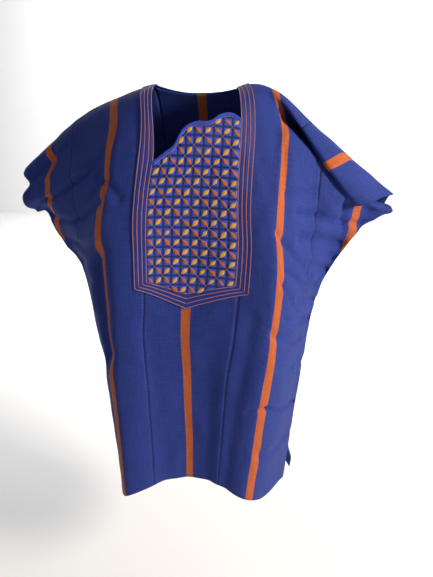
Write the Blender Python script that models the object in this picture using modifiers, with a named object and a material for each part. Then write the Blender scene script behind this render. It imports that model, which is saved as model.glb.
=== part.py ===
"""Boubou tunic of five hand-woven strips, worn form, hollow.

Metres, +Z up, front facing -Y.  The origin lies at the base of the neck, midway between
the shoulders.  A place on the cloth is written (across, drop): across is the distance from
the centre line, positive on the wearer's left (+X); drop is the distance down from the
shoulder fold, positive on the front and negative on the back.
"""

import math
from collections import namedtuple

import bmesh
import bpy
import numpy as np

# Driving sizes of the cut
STRIP = 0.170  # woven width of one strip
HALF_CUT = 2.5 * STRIP  # centre line to cuff: two and a half strips
LENGTH = 0.810  # shoulder fold to hem
CUFF_DEPTH = 0.145  # shoulder fold to the corner under the cuff
SLIT_TOP = 0.725  # the side seam ends here and the slit begins
WALL = 0.0015  # thickness of the cloth
SEAM_GAP = 0.0003  # between the pieces of one layer
LIFT = 0.0011  # between the cloth and what is sewn on it
CLOSE_FROM = 0.080  # front and back start to draw together here, towards the cuff's end
CLOSE_REACH = 0.085  # and over this much cloth beside the side seam
FLAP_OUT = 0.012  # how far the flaps of the slit stand off at the hem
EDGE_REACH = 0.020  # front and back keep their gap this far in from the side seam
SHOULDER_HOLDS = 0.050  # down to here the shoulder line's forward bend is kept whole
SHOULDER_FADES = 0.350  # and over this drop it fades
TAKE_FROM = 0.030  # cross folds start to take up length here
TAKE_OVER = 0.120  # and reach their whole share over this drop
LEAST_FALL = 0.05  # share of its length that cloth always falls

# Driving sizes of the neck and its embroidery
NECK_HALF = 0.078  # half width of the opening
BAND = 0.025  # width of the embroidered band
BAND_CORNER = 0.398  # drop of the outer corners of the band
BAND_POINT = 0.440  # drop of its point
POINT_INSET = 0.029  # from the outer point to the inner one
INNER_POINT = BAND_POINT - POINT_INSET
CORNER_RISE = 0.21  # the inner corners lie higher by this share of the band's pointed end
INNER_CORNER = BAND_CORNER - (BAND_POINT - BAND_CORNER) * CORNER_RISE
FOOT_SHARES = (0.0, 0.28, 0.54, 0.77)  # steps of the band from its point to its corner
BACK_NECK = 0.042  # depth of the round at the back of the neck
BACK_TURNS = 8  # steps of the band from each shoulder to the middle of the back
EDGING = 0.0065  # width of the satin edging on the scallops

FINE_STEP = 0.015  # rows of the cloth near the shoulders
LONG_STEP = 0.0462  # rows further down
FINE_TO = 0.210  # where the rows become longer
STRIP_COLUMNS = 5  # wide cells across one strip, between the two narrow ones at its seams
SEAM_CELL = 0.006  # a narrow cell along each seam keeps neighbouring walls in line
TOP_ROWS = 6  # graded rows below an uneven top edge
BACK_JOIN = 0.090  # the graded rows of the back end here
BIB_LEVEL = 0.360  # the last level row of the bib, above its pointed foot
FOOT_ROWS = 2  # rows from there to the foot
TOP_CLEAR = 0.001  # from the scallops, or the back neck, to the cloth's cut edge
DIRECTION_STEP = 0.002  # spacing of the places that give a direction
RING_MERGE = 0.00005  # closes the two ends of the band

# Where the sections below are measured across the cloth
STATIONS = (0.0, 0.150, 0.255, 0.340, HALF_CUT)

Shoulder = namedtuple("Shoulder", "across right_x right_y right_z left_x left_y left_z")
SHOULDER_LINE = (
    Shoulder(0.000, 0.000, 0.000, 0.004, 0.000, 0.000, 0.004),
    Shoulder(0.078, 0.078, 0.000, 0.000, 0.078, 0.000, 0.000),
    Shoulder(0.150, 0.148, 0.002, -0.017, 0.148, 0.002, -0.022),
    Shoulder(0.255, 0.237, 0.015, -0.060, 0.234, 0.010, -0.078),
    Shoulder(0.340, 0.300, 0.032, -0.105, 0.298, 0.020, -0.130),
    Shoulder(HALF_CUT, 0.368, 0.048, -0.155, 0.370, 0.032, -0.180),
)

# Level sections of each face: x at four stations, y at all five
Section = namedtuple(
    "Section", "drop x_ridge x_seam x_stripe x_cuff y_centre y_ridge y_seam y_stripe y_cuff"
)
FRONT = (
    Section(0.00, 0.148, 0.240, 0.308, 0.367, 0.000, 0.000, 0.000, 0.000, 0.000),
    Section(0.03, 0.148, 0.240, 0.308, 0.367, -0.029, -0.029, -0.028, -0.027, -0.026),
    Section(0.07, 0.148, 0.238, 0.306, 0.365, -0.064, -0.063, -0.054, -0.045, -0.040),
    Section(0.13, 0.147, 0.236, 0.304, 0.360, -0.098, -0.098, -0.072, -0.048, -0.036),
    Section(0.20, 0.145, 0.232, 0.297, 0.350, -0.120, -0.126, -0.080, -0.036, -0.020),
    Section(0.32, 0.141, 0.220, 0.275, 0.325, -0.136, -0.150, -0.080, -0.025, -0.010),
    Section(0.48, 0.136, 0.208, 0.250, 0.300, -0.138, -0.155, -0.078, -0.025, -0.010),
    Section(0.64, 0.126, 0.196, 0.232, 0.290, -0.136, -0.161, -0.085, -0.030, -0.010),
    Section(LENGTH, 0.116, 0.188, 0.225, 0.280, -0.132, -0.166, -0.090, -0.040, -0.010),
)
BACK = (
    Section(0.00, 0.148, 0.240, 0.308, 0.367, 0.000, 0.000, 0.000, 0.000, 0.000),
    Section(0.03, 0.148, 0.240, 0.308, 0.367, 0.029, 0.029, 0.028, 0.027, 0.026),
    Section(0.07, 0.148, 0.238, 0.306, 0.365, 0.062, 0.060, 0.053, 0.045, 0.040),
    Section(0.13, 0.146, 0.236, 0.304, 0.360, 0.090, 0.086, 0.066, 0.048, 0.036),
    Section(0.20, 0.143, 0.232, 0.297, 0.350, 0.104, 0.098, 0.064, 0.036, 0.020),
    Section(0.32, 0.140, 0.222, 0.275, 0.325, 0.108, 0.104, 0.052, 0.022, 0.010),
    Section(0.48, 0.138, 0.212, 0.250, 0.300, 0.108, 0.106, 0.035, 0.000, 0.000),
    Section(0.64, 0.136, 0.202, 0.240, 0.290, 0.114, 0.112, 0.034, -0.005, 0.000),
    Section(LENGTH, 0.134, 0.196, 0.232, 0.280, 0.122, 0.120, 0.040, -0.005, 0.000),
)

# The outer edge of the cut: the cuff, the curve under the arm, then the side seam
Edge = namedtuple("Edge", "drop across")
CUT_EDGE = (
    Edge(0.000, HALF_CUT),
    Edge(CUFF_DEPTH, HALF_CUT),
    Edge(0.158, 0.400),
    Edge(0.182, 0.370),
    Edge(0.215, 0.345),
    Edge(0.270, 0.321),
    Edge(0.350, 0.300),
    Edge(0.480, 0.287),
    Edge(LENGTH, 0.280),
)

# Share of the length that small cross folds take up
TakeUp = namedtuple("TakeUp", "across share")
TAKE_UP = (
    TakeUp(0.000, 0.000),
    TakeUp(0.150, 0.000),
    TakeUp(0.255, 0.045),
    TakeUp(0.340, 0.075),
    TakeUp(HALF_CUT, 0.100),
)

# How the standing figure makes the two sides differ
Lean = namedtuple(
    "Lean",
    "drop right_ridge_x right_ridge_y right_edge_x right_edge_y"
    " left_ridge_x left_ridge_y left_edge_x left_edge_y",
)
LEANS = (
    Lean(0.00, 0.000, 0.000, 0.000, 0.000, 0.000, 0.000, 0.000, 0.000),
    Lean(0.20, 0.000, 0.000, 0.000, 0.020, 0.000, 0.000, 0.000, 0.010),
    Lean(0.45, 0.000, -0.005, -0.006, 0.010, 0.000, 0.000, 0.010, 0.010),
    Lean(0.62, -0.006, -0.012, -0.022, 0.005, -0.002, 0.002, 0.014, 0.010),
    Lean(LENGTH, -0.006, -0.022, -0.030, 0.000, -0.006, 0.004, 0.010, 0.010),
)

# Each fold is a soft push along a line on the cloth, fading over its reach
Fold = namedtuple("Fold", "across drop to_across to_drop reach push_x push_y push_z")
FOLDS = (
    # the wearer's left shoulder: a deep trough below a rolled band, out to the cuff
    Fold(0.150, 0.048, 0.225, 0.082, 0.025, -0.002, 0.019, -0.006),
    Fold(0.240, 0.086, 0.440, 0.086, 0.023, 0.000, 0.020, 0.000),
    Fold(0.220, 0.035, 0.440, 0.040, 0.024, 0.000, -0.008, 0.000),
    Fold(0.250, 0.128, 0.400, 0.120, 0.018, 0.000, -0.010, 0.003),
    # the lower halves of both sleeves ride up over the arms
    Fold(0.340, 0.160, 0.440, 0.150, 0.060, 0.000, 0.000, 0.045),
    Fold(0.340, -0.160, 0.440, -0.150, 0.060, 0.000, 0.000, 0.045),
    Fold(-0.440, 0.160, -0.380, 0.160, 0.050, 0.000, 0.000, 0.028),
    Fold(-0.440, -0.160, -0.380, -0.160, 0.050, 0.000, 0.000, 0.028),
    Fold(-0.350, 0.195, -0.340, 0.235, 0.045, -0.017, 0.000, -0.006),
    Fold(-0.350, -0.195, -0.340, -0.235, 0.045, -0.017, 0.000, -0.006),
    # the wearer's right cuff waves in and out, and a tuck runs in from it
    Fold(-0.440, 0.042, -0.330, 0.048, 0.016, 0.012, 0.014, 0.000),
    Fold(-0.370, 0.112, -0.200, 0.120, 0.018, 0.000, -0.008, -0.004),
    # the chest is drawn in below the wearer's right shoulder
    Fold(-0.170, 0.050, -0.080, 0.170, 0.060, 0.016, 0.000, 0.000),
    Fold(-0.175, 0.110, -0.185, 0.200, 0.055, 0.016, 0.000, 0.000),
    Fold(-0.110, 0.260, -0.110, 0.420, 0.050, 0.007, 0.000, 0.000),
    Fold(0.105, 0.330, 0.105, 0.480, 0.060, 0.007, 0.000, 0.000),
    Fold(0.000, 0.430, 0.000, 0.480, 0.060, -0.005, 0.000, 0.000),
    Fold(0.000, 0.740, 0.000, 0.840, 0.090, 0.005, 0.000, 0.000),
    Fold(0.050, 0.150, 0.050, 0.360, 0.090, 0.006, 0.000, 0.000),
    Fold(0.170, 0.120, 0.170, 0.260, 0.050, -0.008, 0.000, 0.000),
    # a hollow beside the front plane, on the wearer's right
    Fold(-0.182, 0.330, -0.178, 0.510, 0.022, 0.004, 0.028, 0.000),
    # the back flap of the slit on the wearer's left stands out
    Fold(0.285, -0.790, 0.285, -0.830, 0.050, 0.018, 0.012, 0.000),
    # long soft flutes down the back
    Fold(-0.050, -0.360, -0.056, -0.860, 0.032, 0.000, -0.013, 0.000),
    Fold(0.125, -0.300, 0.140, -0.860, 0.034, 0.000, -0.012, 0.000),
    Fold(0.010, -0.420, 0.015, -0.860, 0.030, 0.000, 0.008, 0.000),
    Fold(-0.160, -0.100, -0.100, -0.260, 0.034, 0.000, -0.010, 0.000),
    Fold(0.250, -0.100, 0.400, -0.110, 0.026, 0.000, -0.014, 0.000),
    Fold(-0.250, -0.090, -0.400, -0.105, 0.026, 0.000, -0.014, 0.000),
)

# The wearer's left shoulder stands forward and higher than the right.  At each distance
# across, from the back to the chest: where the cloth lies still, the shoulder, the band that
# rolls over it, the sleeve's underside, and still cloth again.
ROLL_PLACES = 5
Roll = namedtuple("Roll", "across drop push_x push_y push_z")
ROLLED = (
    Roll(0.055, -0.220, 0.000, 0.000, 0.000),
    Roll(0.055, 0.000, 0.000, 0.000, 0.000),
    Roll(0.055, 0.085, 0.000, 0.000, 0.000),
    Roll(0.055, 0.190, 0.000, 0.000, 0.000),
    Roll(0.055, 0.320, 0.000, 0.000, 0.000),
    Roll(0.078, -0.220, 0.000, 0.000, 0.000),
    Roll(0.078, 0.000, -0.006, 0.000, -0.001),
    Roll(0.078, 0.085, -0.001, 0.000, 0.000),
    Roll(0.078, 0.190, 0.000, 0.000, 0.000),
    Roll(0.078, 0.320, 0.000, 0.000, 0.000),
    Roll(0.103, -0.220, 0.000, 0.000, 0.000),
    Roll(0.103, 0.000, -0.009, -0.001, 0.008),
    Roll(0.103, 0.085, -0.002, 0.000, 0.002),
    Roll(0.103, 0.190, 0.000, 0.000, 0.000),
    Roll(0.103, 0.320, 0.000, 0.000, 0.000),
    Roll(0.150, -0.220, 0.000, 0.000, 0.000),
    Roll(0.150, 0.000, -0.020, -0.004, 0.017),
    Roll(0.150, 0.085, -0.006, 0.001, -0.001),
    Roll(0.150, 0.190, 0.001, -0.003, -0.008),
    Roll(0.150, 0.320, 0.000, 0.000, 0.000),
    Roll(0.175, -0.220, 0.000, 0.000, 0.000),
    Roll(0.175, 0.000, -0.020, -0.008, 0.019),
    Roll(0.175, 0.085, -0.009, 0.003, 0.007),
    Roll(0.175, 0.190, -0.001, -0.003, 0.003),
    Roll(0.175, 0.320, 0.000, 0.000, 0.000),
    Roll(0.225, -0.220, 0.000, 0.000, 0.000),
    Roll(0.225, 0.000, -0.021, -0.015, 0.016),
    Roll(0.225, 0.085, -0.018, 0.006, 0.024),
    Roll(0.225, 0.190, -0.004, -0.006, 0.026),
    Roll(0.225, 0.320, 0.000, 0.000, 0.000),
    Roll(0.285, -0.220, 0.000, 0.000, 0.000),
    Roll(0.285, 0.000, -0.018, -0.026, 0.012),
    Roll(0.285, 0.085, -0.020, -0.004, 0.031),
    Roll(0.285, 0.190, -0.001, -0.019, 0.033),
    Roll(0.285, 0.320, 0.000, 0.000, 0.000),
    Roll(0.340, -0.220, 0.000, 0.000, 0.000),
    Roll(0.340, 0.000, -0.015, -0.034, 0.010),
    Roll(0.340, 0.085, -0.020, -0.017, 0.027),
    Roll(0.340, 0.190, 0.008, -0.036, 0.025),
    Roll(0.340, 0.320, 0.000, 0.000, 0.000),
    Roll(0.385, -0.220, 0.000, 0.000, 0.000),
    Roll(0.385, 0.000, -0.012, -0.038, 0.007),
    Roll(0.385, 0.085, -0.026, -0.028, 0.031),
    Roll(0.385, 0.190, 0.005, -0.040, 0.017),
    Roll(0.385, 0.320, 0.000, 0.000, 0.000),
    Roll(HALF_CUT, -0.220, 0.000, 0.000, 0.000),
    Roll(HALF_CUT, 0.000, -0.006, -0.042, 0.001),
    Roll(HALF_CUT, 0.085, -0.030, -0.036, 0.031),
    Roll(HALF_CUT, 0.190, 0.006, -0.043, 0.032),
    Roll(HALF_CUT, 0.320, 0.000, 0.000, 0.000),
)

# The scalloped top edge of the embroidered panel
Scallop = namedtuple("Scallop", "across drop")
SCALLOPS = (
    Scallop(-NECK_HALF, 0.186),
    Scallop(-0.058, 0.173),
    Scallop(-0.038, 0.160),
    Scallop(-0.022, 0.137),
    Scallop(0.000, 0.123),
    Scallop(0.026, 0.120),
    Scallop(0.042, 0.108),
    Scallop(0.060, 0.103),
    Scallop(NECK_HALF, 0.110),
)

SURFACE = {
    "cloth": ((0.028, 0.040, 0.205), 0.85),
    "satin": ((0.022, 0.055, 0.420), 0.45),
    "thread": ((0.045, 0.055, 0.340), 0.55),
}

FINE_DROPS = np.linspace(0.0, LENGTH, 325)
RIGHT, LEFT = -1, 1


def ease(amount):
    """0 to 1 with no corner at either end."""
    amount = np.clip(amount, 0.0, 1.0)
    return amount * amount * (3.0 - 2.0 * amount)


def through(places, values, wanted):
    """A smooth curve through the rows of a table, which never swings past them."""
    places = np.asarray(places, float)
    values = np.asarray(values, float).reshape(len(places), -1)
    steps = np.diff(places)[:, None]
    rises = np.diff(values, axis=0) / steps
    slopes = np.vstack([rises[:1], np.zeros_like(values[1:-1]), rises[-1:]])
    before, after = rises[:-1], rises[1:]
    mean = (before * steps[1:] + after * steps[:-1]) / (steps[1:] + steps[:-1])
    most = 3.0 * np.minimum(abs(before), abs(after))
    level = np.sign(mean) * np.minimum(abs(mean), most)
    slopes[1:-1] = np.where(before * after > 0, level, 0.0)
    wanted = np.clip(np.asarray(wanted, float), places[0], places[-1])
    row = np.clip(np.searchsorted(places, wanted, side="right") - 1, 0, len(places) - 2)
    step = (places[row + 1] - places[row])[..., None]
    part = (wanted[..., None] - places[row][..., None]) / step
    return (
        (2 * part**3 - 3 * part**2 + 1) * values[row]
        + (part**3 - 2 * part**2 + part) * step * slopes[row]
        + (3 * part**2 - 2 * part**3) * values[row + 1]
        + (part**3 - part**2) * step * slopes[row + 1]
    )


def cut_edge(drop):
    """How far the cloth reaches from the centre line at this drop."""
    table = np.array(CUT_EDGE)
    return through(table[:, 0], table[:, 1], drop)[..., 0]


def face_columns(sections, side, across):
    """The paths down one face of the columns of cloth at these distances across."""
    table = np.array(sections)
    rows = through(table[:, 0], table[:, 1:], FINE_DROPS)
    level_x = np.column_stack([np.zeros(len(rows)), rows[:, :4]])
    level_y = rows[:, 4:]
    leans = np.array(LEANS)
    both = through(leans[:, 0], leans[:, 1:], FINE_DROPS)
    lean = both[:, :4] if side == RIGHT else both[:, 4:]
    on_front = 1.0 if sections is FRONT else 0.0
    level_x[:, 1] += on_front * lean[:, 0]
    level_y[:, 0] += on_front * (both[:, 1] + both[:, 5]) / 2
    level_y[:, 1] += on_front * lean[:, 1]
    level_x[:, 2:] += lean[:, 2:3]
    level_y[:, 2:] += lean[:, 3:4]
    # One station beyond the centre line, mirrored, rounds the cloth across the middle
    stations = [-STATIONS[1], *STATIONS]
    level_x = np.column_stack([-level_x[:, 1], level_x])
    level_y = np.column_stack([level_y[:, 1], level_y])
    paths_x = through(stations, level_x.T, across)
    paths_y = through(stations, level_y.T, across)
    shoulder = np.array(SHOULDER_LINE)
    first = 1 if side == RIGHT else 4
    top = through(shoulder[:, 0], shoulder[:, first : first + 3], across)
    paths_x += (top[:, 0] - paths_x[:, 0])[:, None]
    paths_y += top[:, 1:2] * (1.0 - ease((FINE_DROPS - SHOULDER_HOLDS) / SHOULDER_FADES))
    # What the cloth travels sideways and forwards, it doesn't fall
    run = np.diff(FINE_DROPS)
    across_squared = np.diff(paths_x, axis=1) ** 2 + np.diff(paths_y, axis=1) ** 2
    fall = np.sqrt(np.maximum(run**2 - across_squared, (LEAST_FALL * run) ** 2))
    share = np.array(TAKE_UP)
    taken = through(share[:, 0], share[:, 1], across)
    taken = taken * ease((FINE_DROPS[1:] - TAKE_FROM) / TAKE_OVER)
    fallen = np.cumsum(fall * (1.0 - taken), axis=1)
    paths_z = top[:, 2:3] - np.hstack([np.zeros((len(across), 1)), fallen])
    return np.stack([paths_x, paths_y, paths_z], axis=-1)


def face_points(sections, side, across, drop):
    """Points of one face before its seams are closed and its folds are pushed in."""
    columns, which = np.unique(np.round(across, 6), return_inverse=True)
    paths = face_columns(sections, side, columns)
    place = drop / FINE_DROPS[1]
    row = np.clip(place.astype(int), 0, len(FINE_DROPS) - 2)
    part = (place - row)[:, None]
    which = which.reshape(-1)
    return paths[which, row] * (1.0 - part) + paths[which, row + 1] * part


def closed_at(across, fall):
    """How far front and back are drawn together: wholly along the cuff's end and side seam."""
    below_cuff = ease((fall - CLOSE_FROM) / (CUFF_DEPTH - CLOSE_FROM))
    return below_cuff * ease((across - cut_edge(fall) + CLOSE_REACH) / CLOSE_REACH)


def side_points(side, across, drop):
    """Points of one side of the garment, its front and back met along the side seam."""
    fall = abs(drop)
    edge = cut_edge(fall)
    front_edge = face_points(FRONT, side, edge, fall)
    back_edge = face_points(BACK, side, edge, fall)
    seam = (front_edge + back_edge) / 2
    closed = closed_at(across, fall)
    flap = closed * ease((fall - SLIT_TOP) / (LENGTH - SLIT_TOP))
    parted = np.outer(flap, (0.0, FLAP_OUT, 0.0))
    front = face_points(FRONT, side, across, fall) + closed[:, None] * (seam - front_edge) - parted
    back = face_points(BACK, side, across, fall) + closed[:, None] * (seam - back_edge) + parted
    return np.where(drop[:, None] >= 0, front, back)


def folded(across, drop):
    """How far the folds push each place on the cloth."""
    moved = np.zeros((len(across), 3))
    for fold in FOLDS:
        run_across = fold.to_across - fold.across
        run_drop = fold.to_drop - fold.drop
        along = (across - fold.across) * run_across + (drop - fold.drop) * run_drop
        along = np.clip(along / (run_across**2 + run_drop**2), 0.0, 1.0)
        off_across = across - fold.across - along * run_across
        off_drop = drop - fold.drop - along * run_drop
        fade = np.exp(-(off_across**2 + off_drop**2) / fold.reach**2)
        moved += np.outer(fade, (fold.push_x, fold.push_y, fold.push_z))
    return moved


def rolled_face(across, drop):
    """How far the rolled band moves each place, by the table of its stops."""
    table = np.array(ROLLED).reshape(-1, ROLL_PLACES, len(Roll._fields))
    stops = [
        [np.interp(across, table[:, 0, 0], table[:, place, item]) for item in range(1, 5)]
        for place in range(ROLL_PLACES)
    ]
    moved = np.zeros((len(across), 3))
    for before, after in zip(stops, stops[1:]):
        part = (drop - before[0]) / (after[0] - before[0])
        inside = (part >= 0) & (part < 1)
        for axis in range(3):
            push = before[axis + 1] + part * (after[axis + 1] - before[axis + 1])
            moved[:, axis] += inside * push
    return moved


def rolled(across, drop):
    """The rolled band's moves, the back going along where it is sewn to the front."""
    moved = rolled_face(across, drop)
    closed = closed_at(across, abs(drop)) * (drop < 0) * (across > 0)
    return moved + closed[:, None] * (rolled_face(across, -drop) - moved)


def worn(places):
    """The worn position of each (across, drop) place: the inner face of the cloth."""
    across, drop = np.asarray(places, float).T
    size = abs(across)
    right = side_points(RIGHT, size, drop) * (-1.0, 1.0, 1.0)
    left = side_points(LEFT, size, drop)
    points = np.where((across < 0)[:, None], right, left)
    points += folded(across, drop) + rolled(across, drop)
    # Front and back stay apart where their edges meet down the side
    at_edge = ease((size - cut_edge(abs(drop)) + EDGE_REACH) / EDGE_REACH)
    points[:, 1] -= np.where(drop >= 0, 1, -1) * at_edge * SEAM_GAP
    return points


def outward(places):
    """The cloth's outward direction at each place."""
    places = np.asarray(places, float)
    sideways, down = (DIRECTION_STEP, 0), (0, DIRECTION_STEP)
    by_across = worn(places + sideways) - worn(places - sideways)
    by_drop = worn(places + down) - worn(places - down)
    normal = np.cross(by_drop, by_across)
    return normal / np.linalg.norm(normal, axis=1)[:, None]


def material(name, surface):
    colour, roughness = SURFACE[surface]
    made = bpy.data.materials.new(name)
    made.use_nodes = True
    shader = made.node_tree.nodes["Principled BSDF"]
    shader.inputs["Base Color"].default_value = (*colour, 1.0)
    shader.inputs["Roughness"].default_value = roughness
    shader.inputs["Metallic"].default_value = 0.0
    return made


def cloth_piece(name, surface, lines, lift=0.0, ring=False):
    """A shell through lines of places; each line runs across, the lines go hem to shoulder."""
    rows, columns = len(lines), len(lines[0])
    places = np.array(lines, float).reshape(-1, 2)
    points = worn(places)
    if lift:
        points += outward(places) * lift
    mesh = bpy.data.meshes.new(name)
    shape = bmesh.new()
    bmesh.ops.create_grid(shape, x_segments=columns - 1, y_segments=rows - 1, size=0.5)
    for vertex in shape.verts:
        column = round((vertex.co.x + 0.5) * (columns - 1))
        row = round((vertex.co.y + 0.5) * (rows - 1))
        vertex.co = points[row * columns + column]
    if ring:
        bmesh.ops.remove_doubles(shape, verts=shape.verts, dist=RING_MERGE)
    shape.to_mesh(mesh)
    shape.free()
    mesh.shade_smooth()
    mesh.materials.append(material(name, surface))
    piece = bpy.data.objects.new(name, mesh)
    tunic.objects.link(piece)
    wall = piece.modifiers.new("wall", "SOLIDIFY")
    wall.thickness = WALL
    wall.offset = 1.0
    return piece


def drops(start, end):
    """Rows of cloth between two drops, close together near the shoulder."""
    fine = np.arange(0.0, FINE_TO - FINE_STEP / 2, FINE_STEP)
    count = round((LENGTH - FINE_TO) / LONG_STEP)
    every = np.concatenate([fine, np.linspace(FINE_TO, LENGTH, count + 1)])
    margin = FINE_STEP / 3
    inside = every[(every > start + margin) & (every < end - margin)]
    return np.concatenate([[start], inside, [end]])


def scallop_edge(across):
    table = np.array(SCALLOPS)
    return float(through(table[:, 0], table[:, 1], across)[0])


def band_end(across, half, corner, point):
    """The drop of a pointed end: corners at half its width, the point on the centre line."""
    return point - (point - corner) * min(abs(across) / half, 1.0)


def graded(tops, join, count):
    """Rows from an uneven top edge down to an even drop."""
    return [[top + (join - top) * row / count for top in tops] for row in range(count)]


def centre_columns(half):
    inner = [row.across for row in SCALLOPS[1:-1]]
    return [-half, *inner, half]


def strip_front():
    """The centre strip below the neck opening, down to the front hem."""
    half = STRIP / 2 - SEAM_GAP / 2
    columns = [-half, *centre_columns(NECK_HALF), half]
    tops = [scallop_edge(across) + TOP_CLEAR for across in columns]
    upper = graded(tops, FINE_TO, TOP_ROWS)
    lower = [[drop] * len(columns) for drop in drops(FINE_TO, LENGTH)]
    lines = [list(zip(columns, line)) for line in upper + lower]
    cloth_piece("centre_strip_front", "cloth", lines[::-1])


def strip_columns(near, far):
    wide = np.linspace(near + SEAM_CELL, far - SEAM_CELL, STRIP_COLUMNS + 1)
    return np.concatenate([[near], wide, [far]])


def strip_back():
    """The centre strip from the round back of the neck to the back hem."""
    half = STRIP / 2 - SEAM_GAP / 2
    columns = strip_columns(-half, half)
    rounds = [math.sqrt(max(1 - (across / half) ** 2, 0.0)) for across in columns]
    tops = [BACK_NECK * depth + 2 * TOP_CLEAR for depth in rounds]
    upper = graded(tops, BACK_JOIN, TOP_ROWS)
    lower = [[drop] * len(columns) for drop in drops(BACK_JOIN, LENGTH)]
    lines = [[(u, -v) for u, v in zip(columns, line)] for line in upper + lower]
    cloth_piece("centre_strip_back", "cloth", lines)


def over_shoulder():
    """Drops from the front hem up over the shoulder fold and down to the back hem."""
    down = drops(0.0, LENGTH)
    return np.concatenate([down[::-1], -down[1:]])


def inner_strip(side, name):
    """Front hem, over the shoulder and down to the back hem, in one length."""
    near = STRIP / 2 + SEAM_GAP / 2
    columns = strip_columns(near, 3 * STRIP / 2 - SEAM_GAP / 2)
    columns = sorted([NECK_HALF + BAND, *columns])
    columns = sorted(side * across for across in columns)
    cloth_piece(name, "cloth", [[(across, drop) for across in columns] for drop in over_shoulder()])


def outer_strip(side, name):
    """The sleeve strip: cuff at the shoulder, cut in under the arm to a narrow side panel."""
    near = 3 * STRIP / 2 + SEAM_GAP / 2
    lines = []
    for drop in over_shoulder():
        far = float(cut_edge(abs(drop)))
        wide = np.linspace(near + SEAM_CELL, far - SEAM_CELL / 2, STRIP_COLUMNS + 1)
        columns = sorted(side * across for across in [near, *wide, far])
        lines.append([(across, drop) for across in columns])
    cloth_piece(name, "cloth", lines)


def bib_lines(top_of, bottom_of):
    """Rows of the embroidered panel inside its band."""
    half = NECK_HALF - SEAM_GAP
    columns = centre_columns(half)
    tops = [top_of(across) for across in columns]
    lines = graded(tops, FINE_TO, TOP_ROWS)
    lines += [[drop] * len(columns) for drop in drops(FINE_TO, LENGTH) if drop < BIB_LEVEL]
    bottoms = [bottom_of(across) for across in columns]
    for row in range(FOOT_ROWS + 1):
        lines.append([BIB_LEVEL + (low - BIB_LEVEL) * row / FOOT_ROWS for low in bottoms])
    return [list(zip(columns, line)) for line in lines]


def embroidered_panel():
    def top(across):
        return scallop_edge(across) + EDGING + SEAM_GAP

    def bottom(across):
        return band_end(across, NECK_HALF, INNER_CORNER, INNER_POINT) - SEAM_GAP

    lines = bib_lines(top, bottom)
    cloth_piece("bib_panel", "satin", lines[::-1], lift=WALL + LIFT)


def satin_edging():
    columns = centre_columns(NECK_HALF - SEAM_GAP)
    tops = [scallop_edge(across) for across in columns]
    lines = [[(u, v + width) for u, v in zip(columns, tops)] for width in (EDGING, 0.0)]
    cloth_piece("bib_edging", "satin", lines, lift=WALL + LIFT)


def neck_band():
    """One closed band: a pointed foot, a limb up each side, and a round behind the neck."""
    seam = STRIP / 2 - NECK_HALF
    half = []
    for share in FOOT_SHARES:
        outer = (share * (NECK_HALF + BAND), band_end(share, 1.0, BAND_CORNER, BAND_POINT))
        inner = (share * NECK_HALF, band_end(share, 1.0, INNER_CORNER, INNER_POINT))
        half.append((inner, outer))
    half.append(((NECK_HALF, INNER_CORNER), (NECK_HALF + BAND, BAND_CORNER)))
    for drop in drops(0.0, LENGTH)[::-1]:
        if drop < INNER_CORNER - FINE_STEP:
            half.append(((NECK_HALF, drop), (NECK_HALF + BAND, drop)))
    for turn in range(1, BACK_TURNS + 1):
        angle = turn * math.pi / 2 / BACK_TURNS
        sideways, down = math.cos(angle), -math.sin(angle)
        outer = ((NECK_HALF + BAND) * sideways, (BACK_NECK + BAND) * down)
        half.append(((NECK_HALF * sideways, BACK_NECK * down), outer))
    other = [((-inner[0], inner[1]), (-outer[0], outer[1])) for inner, outer in half[-2::-1]]
    lines = []
    for inner, outer in half + other:
        middle = tuple(a + (b - a) * seam / BAND for a, b in zip(inner, outer))
        lines.append([inner, middle, outer])
    cloth_piece("neck_band", "thread", lines, lift=WALL + LIFT, ring=True)


for leftover in list(bpy.data.objects):
    bpy.data.objects.remove(leftover, do_unlink=True)
tunic = bpy.data.collections.new("strip_woven_boubou_tunic")
bpy.context.scene.collection.children.link(tunic)

strip_front()
strip_back()
inner_strip(RIGHT, "inner_strip_right")
inner_strip(LEFT, "inner_strip_left")
outer_strip(RIGHT, "outer_strip_right")
outer_strip(LEFT, "outer_strip_left")
embroidered_panel()
satin_edging()
neck_band()
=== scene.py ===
import math
from collections import namedtuple

import bpy
import numpy as np
from mathutils import Matrix, Vector, noise


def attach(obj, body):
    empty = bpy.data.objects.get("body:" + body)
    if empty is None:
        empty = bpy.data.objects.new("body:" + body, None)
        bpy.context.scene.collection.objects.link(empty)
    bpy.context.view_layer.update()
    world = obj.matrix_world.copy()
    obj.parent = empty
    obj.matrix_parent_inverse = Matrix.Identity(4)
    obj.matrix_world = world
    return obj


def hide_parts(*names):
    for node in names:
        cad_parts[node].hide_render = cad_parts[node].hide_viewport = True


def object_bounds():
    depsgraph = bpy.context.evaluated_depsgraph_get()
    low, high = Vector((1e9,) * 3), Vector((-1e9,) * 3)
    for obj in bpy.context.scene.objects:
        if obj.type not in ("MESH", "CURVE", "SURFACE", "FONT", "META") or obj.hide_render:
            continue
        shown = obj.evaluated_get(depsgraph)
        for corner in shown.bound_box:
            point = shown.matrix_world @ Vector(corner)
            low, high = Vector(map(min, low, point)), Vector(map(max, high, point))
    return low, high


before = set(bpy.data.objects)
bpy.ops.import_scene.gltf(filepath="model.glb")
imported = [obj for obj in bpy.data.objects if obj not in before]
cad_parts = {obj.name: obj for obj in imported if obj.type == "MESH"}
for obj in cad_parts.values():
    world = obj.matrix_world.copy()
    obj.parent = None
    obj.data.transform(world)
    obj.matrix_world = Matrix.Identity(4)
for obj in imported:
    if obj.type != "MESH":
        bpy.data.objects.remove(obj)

# The tunic as packed: its box is kept, and what was selected on loading is let go.
cad_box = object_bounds()
bpy.ops.object.select_all(action="DESELECT")

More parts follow.
